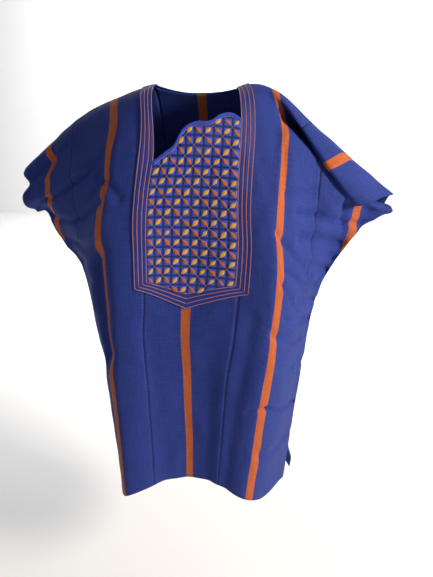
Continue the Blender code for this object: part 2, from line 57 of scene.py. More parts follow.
# ---------------------------------------------------------------------------------------
# The view: a hand-held wide lens at chest height, a little to the wearer's left of centre,
# tipped down at a tunic that is held up by the shoulders over a plain pale floor.
FLOOR_BELOW_HEM = 0.45
VIEW_PLACE = (0.106, -0.852, -0.093)
VIEW_TURN, VIEW_TIP, VIEW_ROLL = math.radians(4.4), math.radians(18.8), math.radians(1.3)

lens = bpy.data.cameras.new("view")
lens.sensor_width = 36.0
lens.lens = 27.0
camera = bpy.data.objects.new("view", lens)
bpy.context.scene.collection.objects.link(camera)
turned = Matrix.Rotation(VIEW_TURN, 4, "Z") @ Matrix.Rotation(math.pi / 2 - VIEW_TIP, 4, "X")
camera.matrix_world = Matrix.Translation(VIEW_PLACE) @ turned @ Matrix.Rotation(VIEW_ROLL, 4, "Z")
bpy.context.scene.camera = camera


def linear(hexed):
    """A colour written as sRGB hex, as the linear numbers a shader takes."""
    parts = [int(hexed[place : place + 2], 16) / 255 for place in (1, 3, 5)]
    return (*[(p / 12.92 if p <= 0.04045 else ((p + 0.055) / 1.055) ** 2.4) for p in parts], 1.0)


def put(tree, kind, inputs, **settings):
    """Adds one shader node with its settings, each input a value or another node's output."""
    made = tree.nodes.new("ShaderNode" + kind)
    for name, value in settings.items():
        setattr(made, name, value)
    for name, value in inputs.items():
        if isinstance(value, bpy.types.NodeSocket):
            tree.links.new(value, made.inputs[name])
        else:
            made.inputs[name].default_value = value
    return made


def new_material(name):
    """An empty material: its node tree, and the Principled shader that it ends in."""
    made = bpy.data.materials.new(name)
    made.use_nodes = True
    return made, made.node_tree, made.node_tree.nodes["Principled BSDF"]


def reckon(tree, operation, *values):
    """The result of one sum, each value a number or another node's output."""
    return put(tree, "Math", dict(enumerate(values)), operation=operation).outputs[0]


def stretched(tree, value, start, end, low=0.0, high=1.0):
    """A value taken from one range to another."""
    return put(tree, "MapRange", {0: value, 1: start, 2: end, 3: low, 4: high}).outputs[0]


def mixed(tree, share, none, full):
    """A colour between two others."""
    return put(tree, "Mix", {"Factor": share, 6: none, 7: full}, data_type="RGBA").outputs[2]


def uneven(tree, place, scale, detail=2.0):
    """Noise with its own scale along each axis of the flat cut."""
    placed = put(tree, "Mapping", {"Vector": place, "Scale": (*scale, 1.0)}).outputs[0]
    made = put(tree, "TexNoise", {"Vector": placed, "Scale": 1.0, "Detail": detail})
    return made.outputs["Fac"]


def bumped(tree, height, distance, strength, **under):
    """The normal of a raised height, over the normal of another if one is given."""
    inputs = {"Height": height, "Distance": distance, "Strength": strength, **under}
    return put(tree, "Bump", inputs).outputs[0]


def flat_cut(tree):
    """The flat cut that each piece keeps as its UV map: the vector, its across and its drop."""
    cut = put(tree, "UVMap", {}).outputs[0]
    split = put(tree, "SeparateXYZ", {0: cut})
    return cut, split.outputs[0], split.outputs[1]


# Matt pale vinyl sheet: an even, dull white with the faintest mottle.
floor_finish, tree, shader = new_material("matt pale vinyl")
mottle = put(tree, "TexNoise", {"Scale": 3.0, "Detail": 2.0})
pale = put(tree, "ValToRGB", {"Fac": mottle.outputs["Fac"]})
pale.color_ramp.elements[0].color = linear("#F0F0F0")
pale.color_ramp.elements[1].color = linear("#F8F8F8")
tree.links.new(pale.outputs["Color"], shader.inputs["Base Color"])
shader.inputs["Roughness"].default_value = 0.8
floor_level = cad_box[0][2] - FLOOR_BELOW_HEM
bpy.ops.mesh.primitive_plane_add(size=30.0, location=(0.0, 0.0, floor_level))
floor = bpy.context.object
floor.name = "floor"
floor.data.materials.append(floor_finish)
bpy.ops.mesh.primitive_plane_add(
    size=20.0, location=(0.0, 6.0, floor_level + 10.0), rotation=(math.pi / 2, 0, 0)
)
backdrop = bpy.context.object
backdrop.name = "backdrop"
backdrop.data.materials.append(floor_finish)


def soft_light(name, place, aim, size, watts, colour):
    """A square soft box, pointed at a place on the tunic."""
    lamp = bpy.data.lights.new(name, "AREA")
    lamp.size = size
    lamp.energy = watts
    lamp.color = linear(colour)[:3]
    box = bpy.data.objects.new(name, lamp)
    box.location = place
    box.rotation_euler = (Vector(aim) - Vector(place)).to_track_quat("-Z", "Y").to_euler()
    bpy.context.scene.collection.objects.link(box)


# A warm key from the wearer's left and above, with soft light over and behind the tunic.
soft_light("key", (1.65, -0.75, 0.35), (0.0, 0.0, -0.40), 0.35, 50.0, "#FFF1DE")
soft_light("top", (-0.2, -0.2, 1.8), (0.0, 0.0, -0.3), 1.2, 2.0, "#FFFFFF")
soft_light("back", (-0.8, 1.8, 0.4), (0.0, 0.0, -0.4), 1.4, 12.0, "#FFFFFF")
soft_light("backdrop", (0.0, 3.2, 2.6), (0.0, 6.0, -0.4), 3.0, 300.0, "#FFFFFF")
world = bpy.context.scene.world or bpy.data.worlds.new("studio")
bpy.context.scene.world = world
world.use_nodes = True
world.node_tree.nodes["Background"].inputs["Color"].default_value = linear("#F4F5F8")
world.node_tree.nodes["Background"].inputs["Strength"].default_value = 0.26
bpy.context.scene.view_settings.view_transform = "Standard"

# ---------------------------------------------------------------------------------------
# The cloth: five cotton strips from a narrow loom, sewn edge to edge, each running from the
# front hem over the shoulder to the back hem.  A place on it is (across, drop): across from
# the centre line, positive on the wearer's left, drop down from the shoulder fold, negative
# on the back.
STRIP = 0.170  # woven width of one strip
HALF_CUT = 2.5 * STRIP  # centre line to cuff
LENGTH = 0.810  # shoulder fold to hem
CUFF_DEPTH = 0.145  # shoulder fold to the corner under the cuff
SLIT_TOP = 0.725  # the side seam ends here
CLOTH_THICK = 0.0011
SEAM_GAP = 0.0003  # between front and back down the side
SEAM_LAP = 0.0003  # how far each strip runs into its neighbour's whipped edge
SEAM_ALLOWANCE = 0.012  # turned in at hems and cuffs
NECK_HALF = 0.078  # half width of the neck opening
CELL = 0.0060  # of the cloth's mesh

# Where the sections below are measured across the cloth
STATIONS = (0.0, 0.150, 0.255, 0.340, HALF_CUT)

Shoulder = namedtuple("Shoulder", "across right_x right_y right_z left_x left_y left_z")
SHOULDER_LINE = (
    Shoulder(0.000, 0.000, 0.000, 0.004, 0.000, 0.000, 0.004),
    Shoulder(0.078, 0.078, 0.000, 0.000, 0.078, 0.000, 0.000),
    Shoulder(0.150, 0.148, 0.002, -0.017, 0.148, 0.002, -0.022),
    Shoulder(0.255, 0.237, 0.015, -0.060, 0.234, 0.010, -0.078),
    Shoulder(0.340, 0.300, 0.032, -0.105, 0.298, 0.020, -0.130),
    Shoulder(HALF_CUT, 0.368, 0.048, -0.155, 0.370, 0.032, -0.180),
)

# Level sections of each face: x at four stations, y at all five
Section = namedtuple(
    "Section", "drop x_ridge x_seam x_stripe x_cuff y_centre y_ridge y_seam y_stripe y_cuff"
)
FRONT = (
    Section(0.00, 0.148, 0.240, 0.308, 0.367, 0.000, 0.000, 0.000, 0.000, 0.000),
    Section(0.03, 0.148, 0.240, 0.308, 0.367, -0.029, -0.029, -0.028, -0.027, -0.026),
    Section(0.07, 0.148, 0.238, 0.306, 0.365, -0.064, -0.063, -0.054, -0.045, -0.040),
    Section(0.13, 0.147, 0.236, 0.304, 0.360, -0.098, -0.098, -0.072, -0.048, -0.036),
    Section(0.20, 0.145, 0.232, 0.297, 0.350, -0.120, -0.126, -0.080, -0.036, -0.020),
    Section(0.32, 0.141, 0.220, 0.275, 0.325, -0.136, -0.150, -0.080, -0.025, -0.010),
    Section(0.48, 0.136, 0.208, 0.250, 0.300, -0.138, -0.155, -0.078, -0.025, -0.010),
    Section(0.64, 0.126, 0.196, 0.232, 0.290, -0.136, -0.161, -0.085, -0.030, -0.010),
    Section(LENGTH, 0.116, 0.188, 0.225, 0.280, -0.132, -0.166, -0.090, -0.040, -0.010),
)
BACK = (
    Section(0.00, 0.148, 0.240, 0.308, 0.367, 0.000, 0.000, 0.000, 0.000, 0.000),
    Section(0.03, 0.148, 0.240, 0.308, 0.367, 0.029, 0.029, 0.028, 0.027, 0.026),
    Section(0.07, 0.148, 0.238, 0.306, 0.365, 0.062, 0.060, 0.053, 0.045, 0.040),
    Section(0.13, 0.146, 0.236, 0.304, 0.360, 0.090, 0.086, 0.066, 0.048, 0.036),
    Section(0.20, 0.143, 0.232, 0.297, 0.350, 0.104, 0.098, 0.064, 0.036, 0.020),
    Section(0.32, 0.140, 0.222, 0.275, 0.325, 0.108, 0.104, 0.052, 0.022, 0.010),
    Section(0.48, 0.138, 0.212, 0.250, 0.300, 0.108, 0.106, 0.035, 0.000, 0.000),
    Section(0.64, 0.136, 0.202, 0.240, 0.290, 0.114, 0.112, 0.034, -0.005, 0.000),
    Section(LENGTH, 0.134, 0.196, 0.232, 0.280, 0.122, 0.120, 0.040, -0.005, 0.000),
)

# The outer edge of the cut: the cuff, the curve under the arm, then the side seam
Edge = namedtuple("Edge", "drop across")
CUT_EDGE = (
    Edge(0.000, HALF_CUT),
    Edge(CUFF_DEPTH, HALF_CUT),
    Edge(0.158, 0.400),
    Edge(0.182, 0.370),
    Edge(0.215, 0.345),
    Edge(0.270, 0.321),
    Edge(0.350, 0.300),
    Edge(0.480, 0.287),
    Edge(LENGTH, 0.280),
)

# Share of the length that small cross folds take up
TakeUp = namedtuple("TakeUp", "across share")
TAKE_UP = (
    TakeUp(0.000, 0.000),
    TakeUp(0.150, 0.000),
    TakeUp(0.255, 0.045),
    TakeUp(0.340, 0.075),
    TakeUp(HALF_CUT, 0.100),
)

# How the standing figure makes the two sides differ
Lean = namedtuple(
    "Lean",
    "drop right_ridge_x right_ridge_y right_edge_x right_edge_y"
    " left_ridge_x left_ridge_y left_edge_x left_edge_y",
)
LEANS = (
    Lean(0.00, 0.000, 0.000, 0.000, 0.000, 0.000, 0.000, 0.000, 0.000),
    Lean(0.20, 0.000, 0.000, 0.000, 0.020, 0.000, 0.000, 0.000, 0.010),
    Lean(0.45, 0.000, -0.005, -0.006, 0.010, 0.000, 0.000, 0.010, 0.010),
    Lean(0.62, -0.006, -0.012, -0.022, 0.005, -0.002, 0.002, 0.014, 0.010),
    Lean(LENGTH, -0.006, -0.022, -0.030, 0.000, -0.006, 0.004, 0.010, 0.010),
)

# Each fold is a soft push along a line on the cloth, fading over its reach
Fold = namedtuple("Fold", "across drop to_across to_drop reach push_x push_y push_z")
FOLDS = (
    # the lower halves of both sleeves ride up over the arms
    Fold(0.340, 0.160, 0.440, 0.150, 0.060, 0.000, 0.000, 0.045),
    Fold(0.340, -0.160, 0.440, -0.150, 0.060, 0.000, 0.000, 0.045),
    Fold(-0.440, 0.160, -0.380, 0.160, 0.050, 0.000, 0.000, 0.028),
    Fold(-0.440, -0.160, -0.380, -0.160, 0.050, 0.000, 0.000, 0.028),
    Fold(-0.350, 0.195, -0.340, 0.235, 0.045, -0.017, 0.000, -0.006),
    Fold(-0.350, -0.195, -0.340, -0.235, 0.045, -0.017, 0.000, -0.006),
    # the wearer's right cuff waves in and out, and a tuck runs in from it
    Fold(-0.440, 0.042, -0.330, 0.048, 0.016, 0.012, 0.014, 0.000),
    Fold(-0.370, 0.112, -0.200, 0.120, 0.018, 0.000, -0.008, -0.004),
    # the chest is drawn in below the wearer's right shoulder
    Fold(-0.170, 0.050, -0.080, 0.170, 0.060, 0.016, 0.000, 0.000),
    Fold(-0.175, 0.110, -0.185, 0.200, 0.055, 0.016, 0.000, 0.000),
    Fold(-0.110, 0.260, -0.110, 0.420, 0.050, 0.007, 0.000, 0.000),
    Fold(0.105, 0.330, 0.105, 0.480, 0.060, 0.007, 0.000, 0.000),
    Fold(0.000, 0.430, 0.000, 0.480, 0.060, -0.005, 0.000, 0.000),
    Fold(0.000, 0.740, 0.000, 0.840, 0.090, 0.005, 0.000, 0.000),
    Fold(0.050, 0.150, 0.050, 0.360, 0.090, 0.006, 0.000, 0.000),
    Fold(0.170, 0.120, 0.170, 0.260, 0.050, -0.008, 0.000, 0.000),
    # a hollow beside the front plane, on the wearer's right
    Fold(-0.182, 0.330, -0.178, 0.510, 0.022, 0.004, 0.028, 0.000),
    # the back flap of the slit on the wearer's left stands out
    Fold(0.285, -0.790, 0.285, -0.830, 0.050, 0.018, 0.012, 0.000),
    # long soft flutes down the back
    Fold(-0.050, -0.360, -0.056, -0.860, 0.032, 0.000, -0.013, 0.000),
    Fold(0.125, -0.300, 0.140, -0.860, 0.034, 0.000, -0.012, 0.000),
    Fold(0.010, -0.420, 0.015, -0.860, 0.030, 0.000, 0.008, 0.000),
    Fold(-0.160, -0.100, -0.100, -0.260, 0.034, 0.000, -0.010, 0.000),
    Fold(0.250, -0.100, 0.400, -0.110, 0.026, 0.000, -0.014, 0.000),
    Fold(-0.250, -0.090, -0.400, -0.105, 0.026, 0.000, -0.014, 0.000),
)


# The wearer's left shoulder: the cloth rolls over in a band from the neck to the cuff, dives
# behind it, and comes forward again below.  At each distance across, from the shoulder to the
# chest: the shoulder, the band's lower edge, the bottom of the valley, the lip below it and
# the sleeve's underside.  The cloth lies still again behind the shoulder and below the last.
ROLL_PLACES = 5
STILL_BEHIND = -0.220  # the drop where the back lies still
STILL_BELOW = 0.100  # from the sleeve's underside to where the front lies still
ROLL_BLUR = 8  # rounds of evening out, which take the corners off the table's stops
Roll = namedtuple("Roll", "across drop push_x push_y push_z")
ROLLED = (
    Roll(0.055, 0.000, 0.000, 0.000, 0.000),
    Roll(0.055, 0.040, 0.000, 0.000, 0.000),
    Roll(0.055, 0.080, 0.000, 0.000, 0.000),
    Roll(0.055, 0.120, 0.000, 0.000, 0.000),
    Roll(0.055, 0.180, 0.000, 0.000, 0.000),
    Roll(0.078, 0.000, -0.009, 0.000, -0.002),
    Roll(0.078, 0.040, -0.005, 0.000, -0.001),
    Roll(0.078, 0.080, -0.002, 0.000, 0.000),
    Roll(0.078, 0.120, 0.000, 0.000, 0.000),
    Roll(0.078, 0.180, 0.000, 0.000, 0.000),
    Roll(0.103, 0.000, -0.013, -0.002, 0.011),
    Roll(0.103, 0.040, -0.006, -0.001, 0.006),
    Roll(0.103, 0.080, -0.002, 0.000, 0.002),
    Roll(0.103, 0.120, 0.000, 0.000, 0.000),
    Roll(0.103, 0.180, 0.000, 0.000, 0.000),
    Roll(0.150, 0.000, -0.029, -0.006, 0.024),
    Roll(0.150, 0.035, -0.020, 0.002, 0.013),
    Roll(0.150, 0.070, -0.008, 0.003, -0.004),
    Roll(0.150, 0.105, 0.001, -0.002, -0.012),
    Roll(0.150, 0.150, 0.002, -0.004, -0.012),
    Roll(0.175, 0.000, -0.029, -0.011, 0.027),
    Roll(0.175, 0.030, -0.026, -0.015, 0.019),
    Roll(0.175, 0.065, -0.010, 0.028, 0.003),
    Roll(0.175, 0.100, -0.003, -0.002, 0.009),
    Roll(0.175, 0.150, -0.002, -0.005, 0.004),
    Roll(0.215, 0.000, -0.031, -0.019, 0.024),
    Roll(0.215, 0.040, -0.042, -0.025, 0.031),
    Roll(0.215, 0.070, -0.020, 0.070, 0.034),
    Roll(0.215, 0.105, -0.012, -0.010, 0.030),
    Roll(0.215, 0.165, -0.004, -0.007, 0.031),
    Roll(0.255, 0.000, -0.029, -0.030, 0.019),
    Roll(0.255, 0.052, -0.052, -0.033, 0.038),
    Roll(0.255, 0.086, -0.024, 0.074, 0.054),
    Roll(0.255, 0.122, -0.012, -0.014, 0.052),
    Roll(0.255, 0.185, -0.008, -0.013, 0.053),
    Roll(0.340, 0.000, -0.022, -0.048, 0.014),
    Roll(0.340, 0.080, -0.069, -0.058, 0.055),
    Roll(0.340, 0.120, -0.025, 0.036, 0.040),
    Roll(0.340, 0.165, 0.008, -0.038, 0.025),
    Roll(0.340, 0.212, 0.011, -0.052, 0.036),
    Roll(0.385, 0.000, -0.017, -0.054, 0.010),
    Roll(0.385, 0.081, -0.079, -0.062, 0.049),
    Roll(0.385, 0.115, -0.035, -0.011, 0.045),
    Roll(0.385, 0.145, 0.004, -0.045, 0.037),
    Roll(0.385, 0.168, 0.007, -0.057, 0.024),
    Roll(HALF_CUT, 0.000, -0.008, -0.060, 0.001),
    Roll(HALF_CUT, 0.082, -0.081, -0.058, 0.037),
    Roll(HALF_CUT, 0.106, -0.043, -0.037, 0.048),
    Roll(HALF_CUT, 0.128, -0.004, -0.057, 0.049),
    Roll(HALF_CUT, 0.150, 0.008, -0.061, 0.045),
)

# Creases finer than the folds: each is a furrow along a line, with a rounded lip beside it
Crease = namedtuple("Crease", "across drop to_across to_drop reach depth")
CREASES = (
    # from the wearer's right cuff inwards, and under that arm
    Crease(-0.385, 0.124, -0.210, 0.140, 0.008, 0.0060),
    Crease(-0.370, 0.176, -0.175, 0.224, 0.008, 0.0070),
    Crease(-0.400, 0.070, -0.270, 0.062, 0.012, 0.0035),
    Crease(-0.330, 0.232, -0.190, 0.290, 0.012, 0.0050),
    Crease(-0.240, 0.060, -0.170, 0.170, 0.016, 0.0030),
    Crease(-0.190, 0.165, -0.130, 0.240, 0.010, 0.0045),
    Crease(-0.205, 0.185, -0.165, 0.190, 0.008, 0.0050),
    Crease(-0.300, 0.300, -0.215, 0.345, 0.012, 0.0040),
    # under the wearer's left arm, where the side is crumpled across
    Crease(0.205, 0.213, 0.321, 0.208, 0.006, 0.0085),
    Crease(0.321, 0.208, 0.385, 0.176, 0.006, 0.0060),
    Crease(0.215, 0.242, 0.330, 0.230, 0.006, 0.0085),
    Crease(0.250, 0.248, 0.322, 0.250, 0.006, 0.0050),
    Crease(0.312, 0.180, 0.312, 0.202, 0.008, 0.0060),
    Crease(0.185, 0.196, 0.245, 0.180, 0.010, 0.0045),
    Crease(0.165, 0.268, 0.262, 0.290, 0.009, 0.0055),
    Crease(0.235, 0.276, 0.318, 0.272, 0.008, 0.0060),
    Crease(0.190, 0.318, 0.290, 0.306, 0.010, 0.0060),
    Crease(0.172, 0.345, 0.232, 0.372, 0.008, 0.0045),
    Crease(0.225, 0.350, 0.300, 0.338, 0.009, 0.0055),
    Crease(0.195, 0.402, 0.290, 0.386, 0.010, 0.0050),
    Crease(0.168, 0.448, 0.245, 0.436, 0.012, 0.0040),
    Crease(0.190, 0.505, 0.285, 0.490, 0.012, 0.0040),
    Crease(0.136, 0.622, 0.180, 0.592, 0.006, 0.0050),
    Crease(0.180, 0.592, 0.280, 0.600, 0.006, 0.0065),
    Crease(0.175, 0.700, 0.270, 0.680, 0.014, 0.0035),
    Crease(0.170, 0.130, 0.190, 0.300, 0.012, 0.0035),
    # long falls down the front
    Crease(0.115, 0.440, 0.105, 0.840, 0.020, 0.0035),
    Crease(-0.075, 0.470, -0.060, 0.840, 0.026, 0.0030),
    Crease(0.045, 0.520, 0.055, 0.840, 0.022, 0.0022),
    Crease(-0.215, 0.420, -0.225, 0.700, 0.014, 0.0040),
    # the back, much the same
    Crease(0.235, -0.178, 0.350, -0.174, 0.010, 0.0050),
    Crease(0.215, -0.225, 0.320, -0.250, 0.012, 0.0045),
    Crease(0.195, -0.300, 0.300, -0.320, 0.013, 0.0040),
    Crease(0.180, -0.385, 0.290, -0.360, 0.012, 0.0040),
    Crease(-0.240, -0.175, -0.355, -0.172, 0.010, 0.0050),
    Crease(-0.210, -0.235, -0.320, -0.262, 0.012, 0.0045),
    Crease(-0.190, -0.330, -0.300, -0.345, 0.014, 0.0040),
    Crease(0.020, -0.110, 0.120, -0.190, 0.018, 0.0035),
    Crease(-0.030, -0.120, -0.120, -0.200, 0.018, 0.0035),
    Crease(0.190, -0.480, 0.285, -0.500, 0.016, 0.0030),
    Crease(-0.180, -0.560, -0.280, -0.540, 0.016, 0.0030),
)
LIP = 1.3  # how far the lips beside a crease rise
SLACK = ((0.060, 0.0022), (0.026, 0.0009))  # gentle unevenness: wavelength and height
SLACK_LONG = 1.6  # it is this much longer down the cloth than across
FINE_DROPS = np.linspace(0.0, LENGTH, 325)
RIGHT, LEFT = -1, 1
CLOSE_FROM = 0.080  # front and back start to draw together here, towards the cuff's end
CLOSE_REACH = 0.085  # and over this much cloth beside the side seam
FLAP_OUT = 0.012  # how far the flaps of the slit stand off at the hem
EDGE_REACH = 0.020  # front and back keep their gap this far in from the side seam
SHOULDER_HOLDS = 0.050  # down to here the shoulder line's forward bend is kept whole
SHOULDER_FADES = 0.350  # and over this drop it fades
TAKE_FROM = 0.030  # cross folds start to take up length here
TAKE_OVER = 0.120  # and reach their whole share over this drop
LEAST_FALL = 0.05  # share of its length that cloth always falls


def ease(amount):
    """0 to 1 with no corner at either end."""
    amount = np.clip(amount, 0.0, 1.0)
    return amount * amount * (3.0 - 2.0 * amount)


def through(places, values, wanted):
    """A smooth curve through the rows of a table, which never swings past them."""
    places = np.asarray(places, float)
    values = np.asarray(values, float).reshape(len(places), -1)
    steps = np.diff(places)[:, None]
    rises = np.diff(values, axis=0) / steps
    slopes = np.vstack([rises[:1], np.zeros_like(values[1:-1]), rises[-1:]])
    before, after = rises[:-1], rises[1:]
    mean = (before * steps[1:] + after * steps[:-1]) / (steps[1:] + steps[:-1])
    most = 3.0 * np.minimum(abs(before), abs(after))
    level = np.sign(mean) * np.minimum(abs(mean), most)
    slopes[1:-1] = np.where(before * after > 0, level, 0.0)
    wanted = np.clip(np.asarray(wanted, float), places[0], places[-1])
    row = np.clip(np.searchsorted(places, wanted, side="right") - 1, 0, len(places) - 2)
    step = (places[row + 1] - places[row])[..., None]
    part = (wanted[..., None] - places[row][..., None]) / step
    return (
        (2 * part**3 - 3 * part**2 + 1) * values[row]
        + (part**3 - 2 * part**2 + part) * step * slopes[row]
        + (3 * part**2 - 2 * part**3) * values[row + 1]
        + (part**3 - part**2) * step * slopes[row + 1]
    )


def cut_edge(drop):
    """How far the cloth reaches from the centre line at this drop."""
    table = np.array(CUT_EDGE)
    return through(table[:, 0], table[:, 1], drop)[..., 0]


def face_columns(sections, side, across):
    """The paths down one face of the columns of cloth at these distances across."""
    table = np.array(sections)
    rows = through(table[:, 0], table[:, 1:], FINE_DROPS)
    level_x = np.column_stack([np.zeros(len(rows)), rows[:, :4]])
    level_y = rows[:, 4:]
    leans = np.array(LEANS)
    both = through(leans[:, 0], leans[:, 1:], FINE_DROPS)
    lean = both[:, :4] if side == RIGHT else both[:, 4:]
    on_front = 1.0 if sections is FRONT else 0.0
    level_x[:, 1] += on_front * lean[:, 0]
    level_y[:, 0] += on_front * (both[:, 1] + both[:, 5]) / 2
    level_y[:, 1] += on_front * lean[:, 1]
    level_x[:, 2:] += lean[:, 2:3]
    level_y[:, 2:] += lean[:, 3:4]
    # One station beyond the centre line, mirrored, rounds the cloth across the middle
    stations = [-STATIONS[1], *STATIONS]
    level_x = np.column_stack([-level_x[:, 1], level_x])
    level_y = np.column_stack([level_y[:, 1], level_y])
    paths_x = through(stations, level_x.T, across)
    paths_y = through(stations, level_y.T, across)
    shoulder = np.array(SHOULDER_LINE)
    first = 1 if side == RIGHT else 4
    top = through(shoulder[:, 0], shoulder[:, first : first + 3], across)
    paths_x += (top[:, 0] - paths_x[:, 0])[:, None]
    paths_y += top[:, 1:2] * (1.0 - ease((FINE_DROPS - SHOULDER_HOLDS) / SHOULDER_FADES))
    # What the cloth travels sideways and forwards, it doesn't fall
    run = np.diff(FINE_DROPS)
    across_squared = np.diff(paths_x, axis=1) ** 2 + np.diff(paths_y, axis=1) ** 2
    fall = np.sqrt(np.maximum(run**2 - across_squared, (LEAST_FALL * run) ** 2))
    share = np.array(TAKE_UP)
    taken = through(share[:, 0], share[:, 1], across)
    taken = taken * ease((FINE_DROPS[1:] - TAKE_FROM) / TAKE_OVER)
    fallen = np.cumsum(fall * (1.0 - taken), axis=1)
    paths_z = top[:, 2:3] - np.hstack([np.zeros((len(across), 1)), fallen])
    return np.stack([paths_x, paths_y, paths_z], axis=-1)


def face_points(sections, side, across, drop):
    """Points of one face before its seams are closed and its folds are pushed in."""
    columns, which = np.unique(np.round(across, 6), return_inverse=True)
    paths = face_columns(sections, side, columns)
    place = drop / FINE_DROPS[1]
    row = np.clip(place.astype(int), 0, len(FINE_DROPS) - 2)
    part = (place - row)[:, None]
    which = which.reshape(-1)
    return paths[which, row] * (1.0 - part) + paths[which, row + 1] * part


def closed_at(across, fall):
    """How far front and back are drawn together: wholly along the cuff's end and side seam."""
    below_cuff = ease((fall - CLOSE_FROM) / (CUFF_DEPTH - CLOSE_FROM))
    return below_cuff * ease((across - cut_edge(fall) + CLOSE_REACH) / CLOSE_REACH)


def side_points(side, across, drop):
    """Points of one side of the garment, its front and back met along the side seam."""
    fall = abs(drop)
    edge = cut_edge(fall)
    front_edge = face_points(FRONT, side, edge, fall)
    back_edge = face_points(BACK, side, edge, fall)
    seam = (front_edge + back_edge) / 2
    closed = closed_at(across, fall)
    flap = closed * ease((fall - SLIT_TOP) / (LENGTH - SLIT_TOP))
    parted = np.outer(flap, (0.0, FLAP_OUT, 0.0))
    front = face_points(FRONT, side, across, fall) + closed[:, None] * (seam - front_edge) - parted
    back = face_points(BACK, side, across, fall) + closed[:, None] * (seam - back_edge) + parted
    return np.where(drop[:, None] >= 0, front, back)


def off_line(row, across, drop):
    """Squared distance from the line of a fold or crease, as a share of its reach."""
    run_across = row.to_across - row.across
    run_drop = row.to_drop - row.drop
    along = (across - row.across) * run_across + (drop - row.drop) * run_drop
    along = np.clip(along / (run_across**2 + run_drop**2), 0.0, 1.0)
    off_across = across - row.across - along * run_across
    off_drop = drop - row.drop - along * run_drop
    return (off_across**2 + off_drop**2) / row.reach**2


def folded(across, drop):
    """How far the folds push each place on the cloth."""
    moved = np.zeros((len(across), 3))
    for fold in FOLDS:
        fade = np.exp(-off_line(fold, across, drop))
        moved += np.outer(fade, (fold.push_x, fold.push_y, fold.push_z))
    return moved


def worn(places):
    """The worn position of each (across, drop) place: the inner face of the cloth."""
    across, drop = np.asarray(places, float).T
    size = abs(across)
    right = side_points(RIGHT, size, drop) * (-1.0, 1.0, 1.0)
    left = side_points(LEFT, size, drop)
    points = np.where((across < 0)[:, None], right, left) + folded(across, drop)
    # Front and back stay apart where their edges meet down the side
    at_edge = ease((size - cut_edge(abs(drop)) + EDGE_REACH) / EDGE_REACH)
    points[:, 1] -= np.sign(drop + 1e-9) * at_edge * SEAM_GAP
    return points


def creased(across, drop):
    """How far creases and the cloth's own slackness move each place outwards."""
    height = np.zeros(len(across))
    for crease in CREASES:
        far = off_line(crease, across, drop)
        height -= crease.depth * (1.0 - LIP * far / 2) * np.exp(-far)
    for wavelength, rise in SLACK:
        rough = [
            noise.noise(Vector((u / wavelength, v / wavelength / SLACK_LONG, wavelength)))
            for u, v in zip(across, drop)
        ]
        height += rise * np.array(rough)
    return height


# The whole cloth is worked out once, as a chart of points on its inner face and of the
# directions out of it, every 2 mm across and along; each piece is then laid on that chart.
CHART = 0.0020
chart_across = np.arange(-HALF_CUT - 4 * CHART, HALF_CUT + 4.5 * CHART, CHART)
chart_drop = np.arange(-LENGTH - 4 * CHART, LENGTH + 4.5 * CHART, CHART)


def directions(surface):
    """Unit directions out of a chart of points."""
    normal = np.cross(np.gradient(surface, axis=0), np.gradient(surface, axis=1))
    return normal / np.maximum(np.linalg.norm(normal, axis=2), 1e-9)[:, :, None]


def blurred(field, times):
    """A field evened out over its neighbours, a little more each time."""
    for _ in range(times):
        field[1:-1] = (field[:-2] + 2 * field[1:-1] + field[2:]) / 4
        field[:, 1:-1] = (field[:, :-2] + 2 * field[:, 1:-1] + field[:, 2:]) / 4
    return field


def rolled():
    """How far the rolled band moves each place of the chart."""
    pushed = np.zeros((len(chart_drop), len(chart_across), 3))
    table = np.array(ROLLED).reshape(-1, ROLL_PLACES, len(Roll._fields))
    for column, across in enumerate(chart_across):
        if across > table[0, 0, 0]:
            stops = np.array([
                [np.interp(across, table[:, 0, 0], table[:, place, item]) for item in range(1, 5)]
                for place in range(ROLL_PLACES)
            ])
            drops = [STILL_BEHIND, *stops[:, 0], stops[-1, 0] + STILL_BELOW]
            for axis, push in enumerate(stops[:, 1:].T):
                pushed[:, column, axis] = np.interp(chart_drop, drops, [0.0, *push, 0.0])
    # The back goes along where it is sewn to the front
    closed = closed_at(grid_across, abs(grid_drop)) * (grid_drop < 0) * (grid_across > 0)
    pushed += closed[:, :, None] * (pushed[::-1] - pushed)
    return blurred(pushed, ROLL_BLUR)


grid_drop, grid_across = np.meshgrid(chart_drop, chart_across, indexing="ij")
shape = (*grid_drop.shape, 3)
smooth_cloth = worn(np.column_stack([grid_across.ravel(), grid_drop.ravel()])).reshape(shape)
smooth_cloth += rolled()
moved_out = creased(grid_across.ravel(), grid_drop.ravel()).reshape(shape[:2])
charted = smooth_cloth + directions(smooth_cloth) * moved_out[:, :, None]
charted_out = directions(charted)


def cubic(part):
    """The weights of four neighbours, for a smooth value between the middle two."""
    return (
        ((2 - part) * part - 1) * part / 2,
        ((3 * part - 5) * part * part + 2) / 2,
        ((4 - 3 * part) * part + 1) * part / 2,
        (part - 1) * part * part / 2,
    )


def cloth_points(places, lift=0.0):
    """Where places on the cloth lie when it is worn, moved out by a lift."""
    places = np.asarray(places, float).reshape(-1, 2)
    column = (places[:, 0] - chart_across[0]) / CHART
    row = (places[:, 1] - chart_drop[0]) / CHART
    column = np.clip(column, 1.0, len(chart_across) - 3.001)
    row = np.clip(row, 1.0, len(chart_drop) - 3.001)
    first_column, first_row = column.astype(int), row.astype(int)
    points = np.zeros((len(places), 3))
    out = np.zeros((len(places), 3))
    for down, row_weight in enumerate(cubic(row - first_row)):
        for beside, weight in enumerate(cubic(column - first_column)):
            at = (first_row + down - 1, first_column + beside - 1)
            share = (row_weight * weight)[:, None]
            points += charted[at] * share
            out += charted_out[at] * share
    height = lift(places) if callable(lift) else np.full(len(places), lift)
    return points + out * height[:, None]


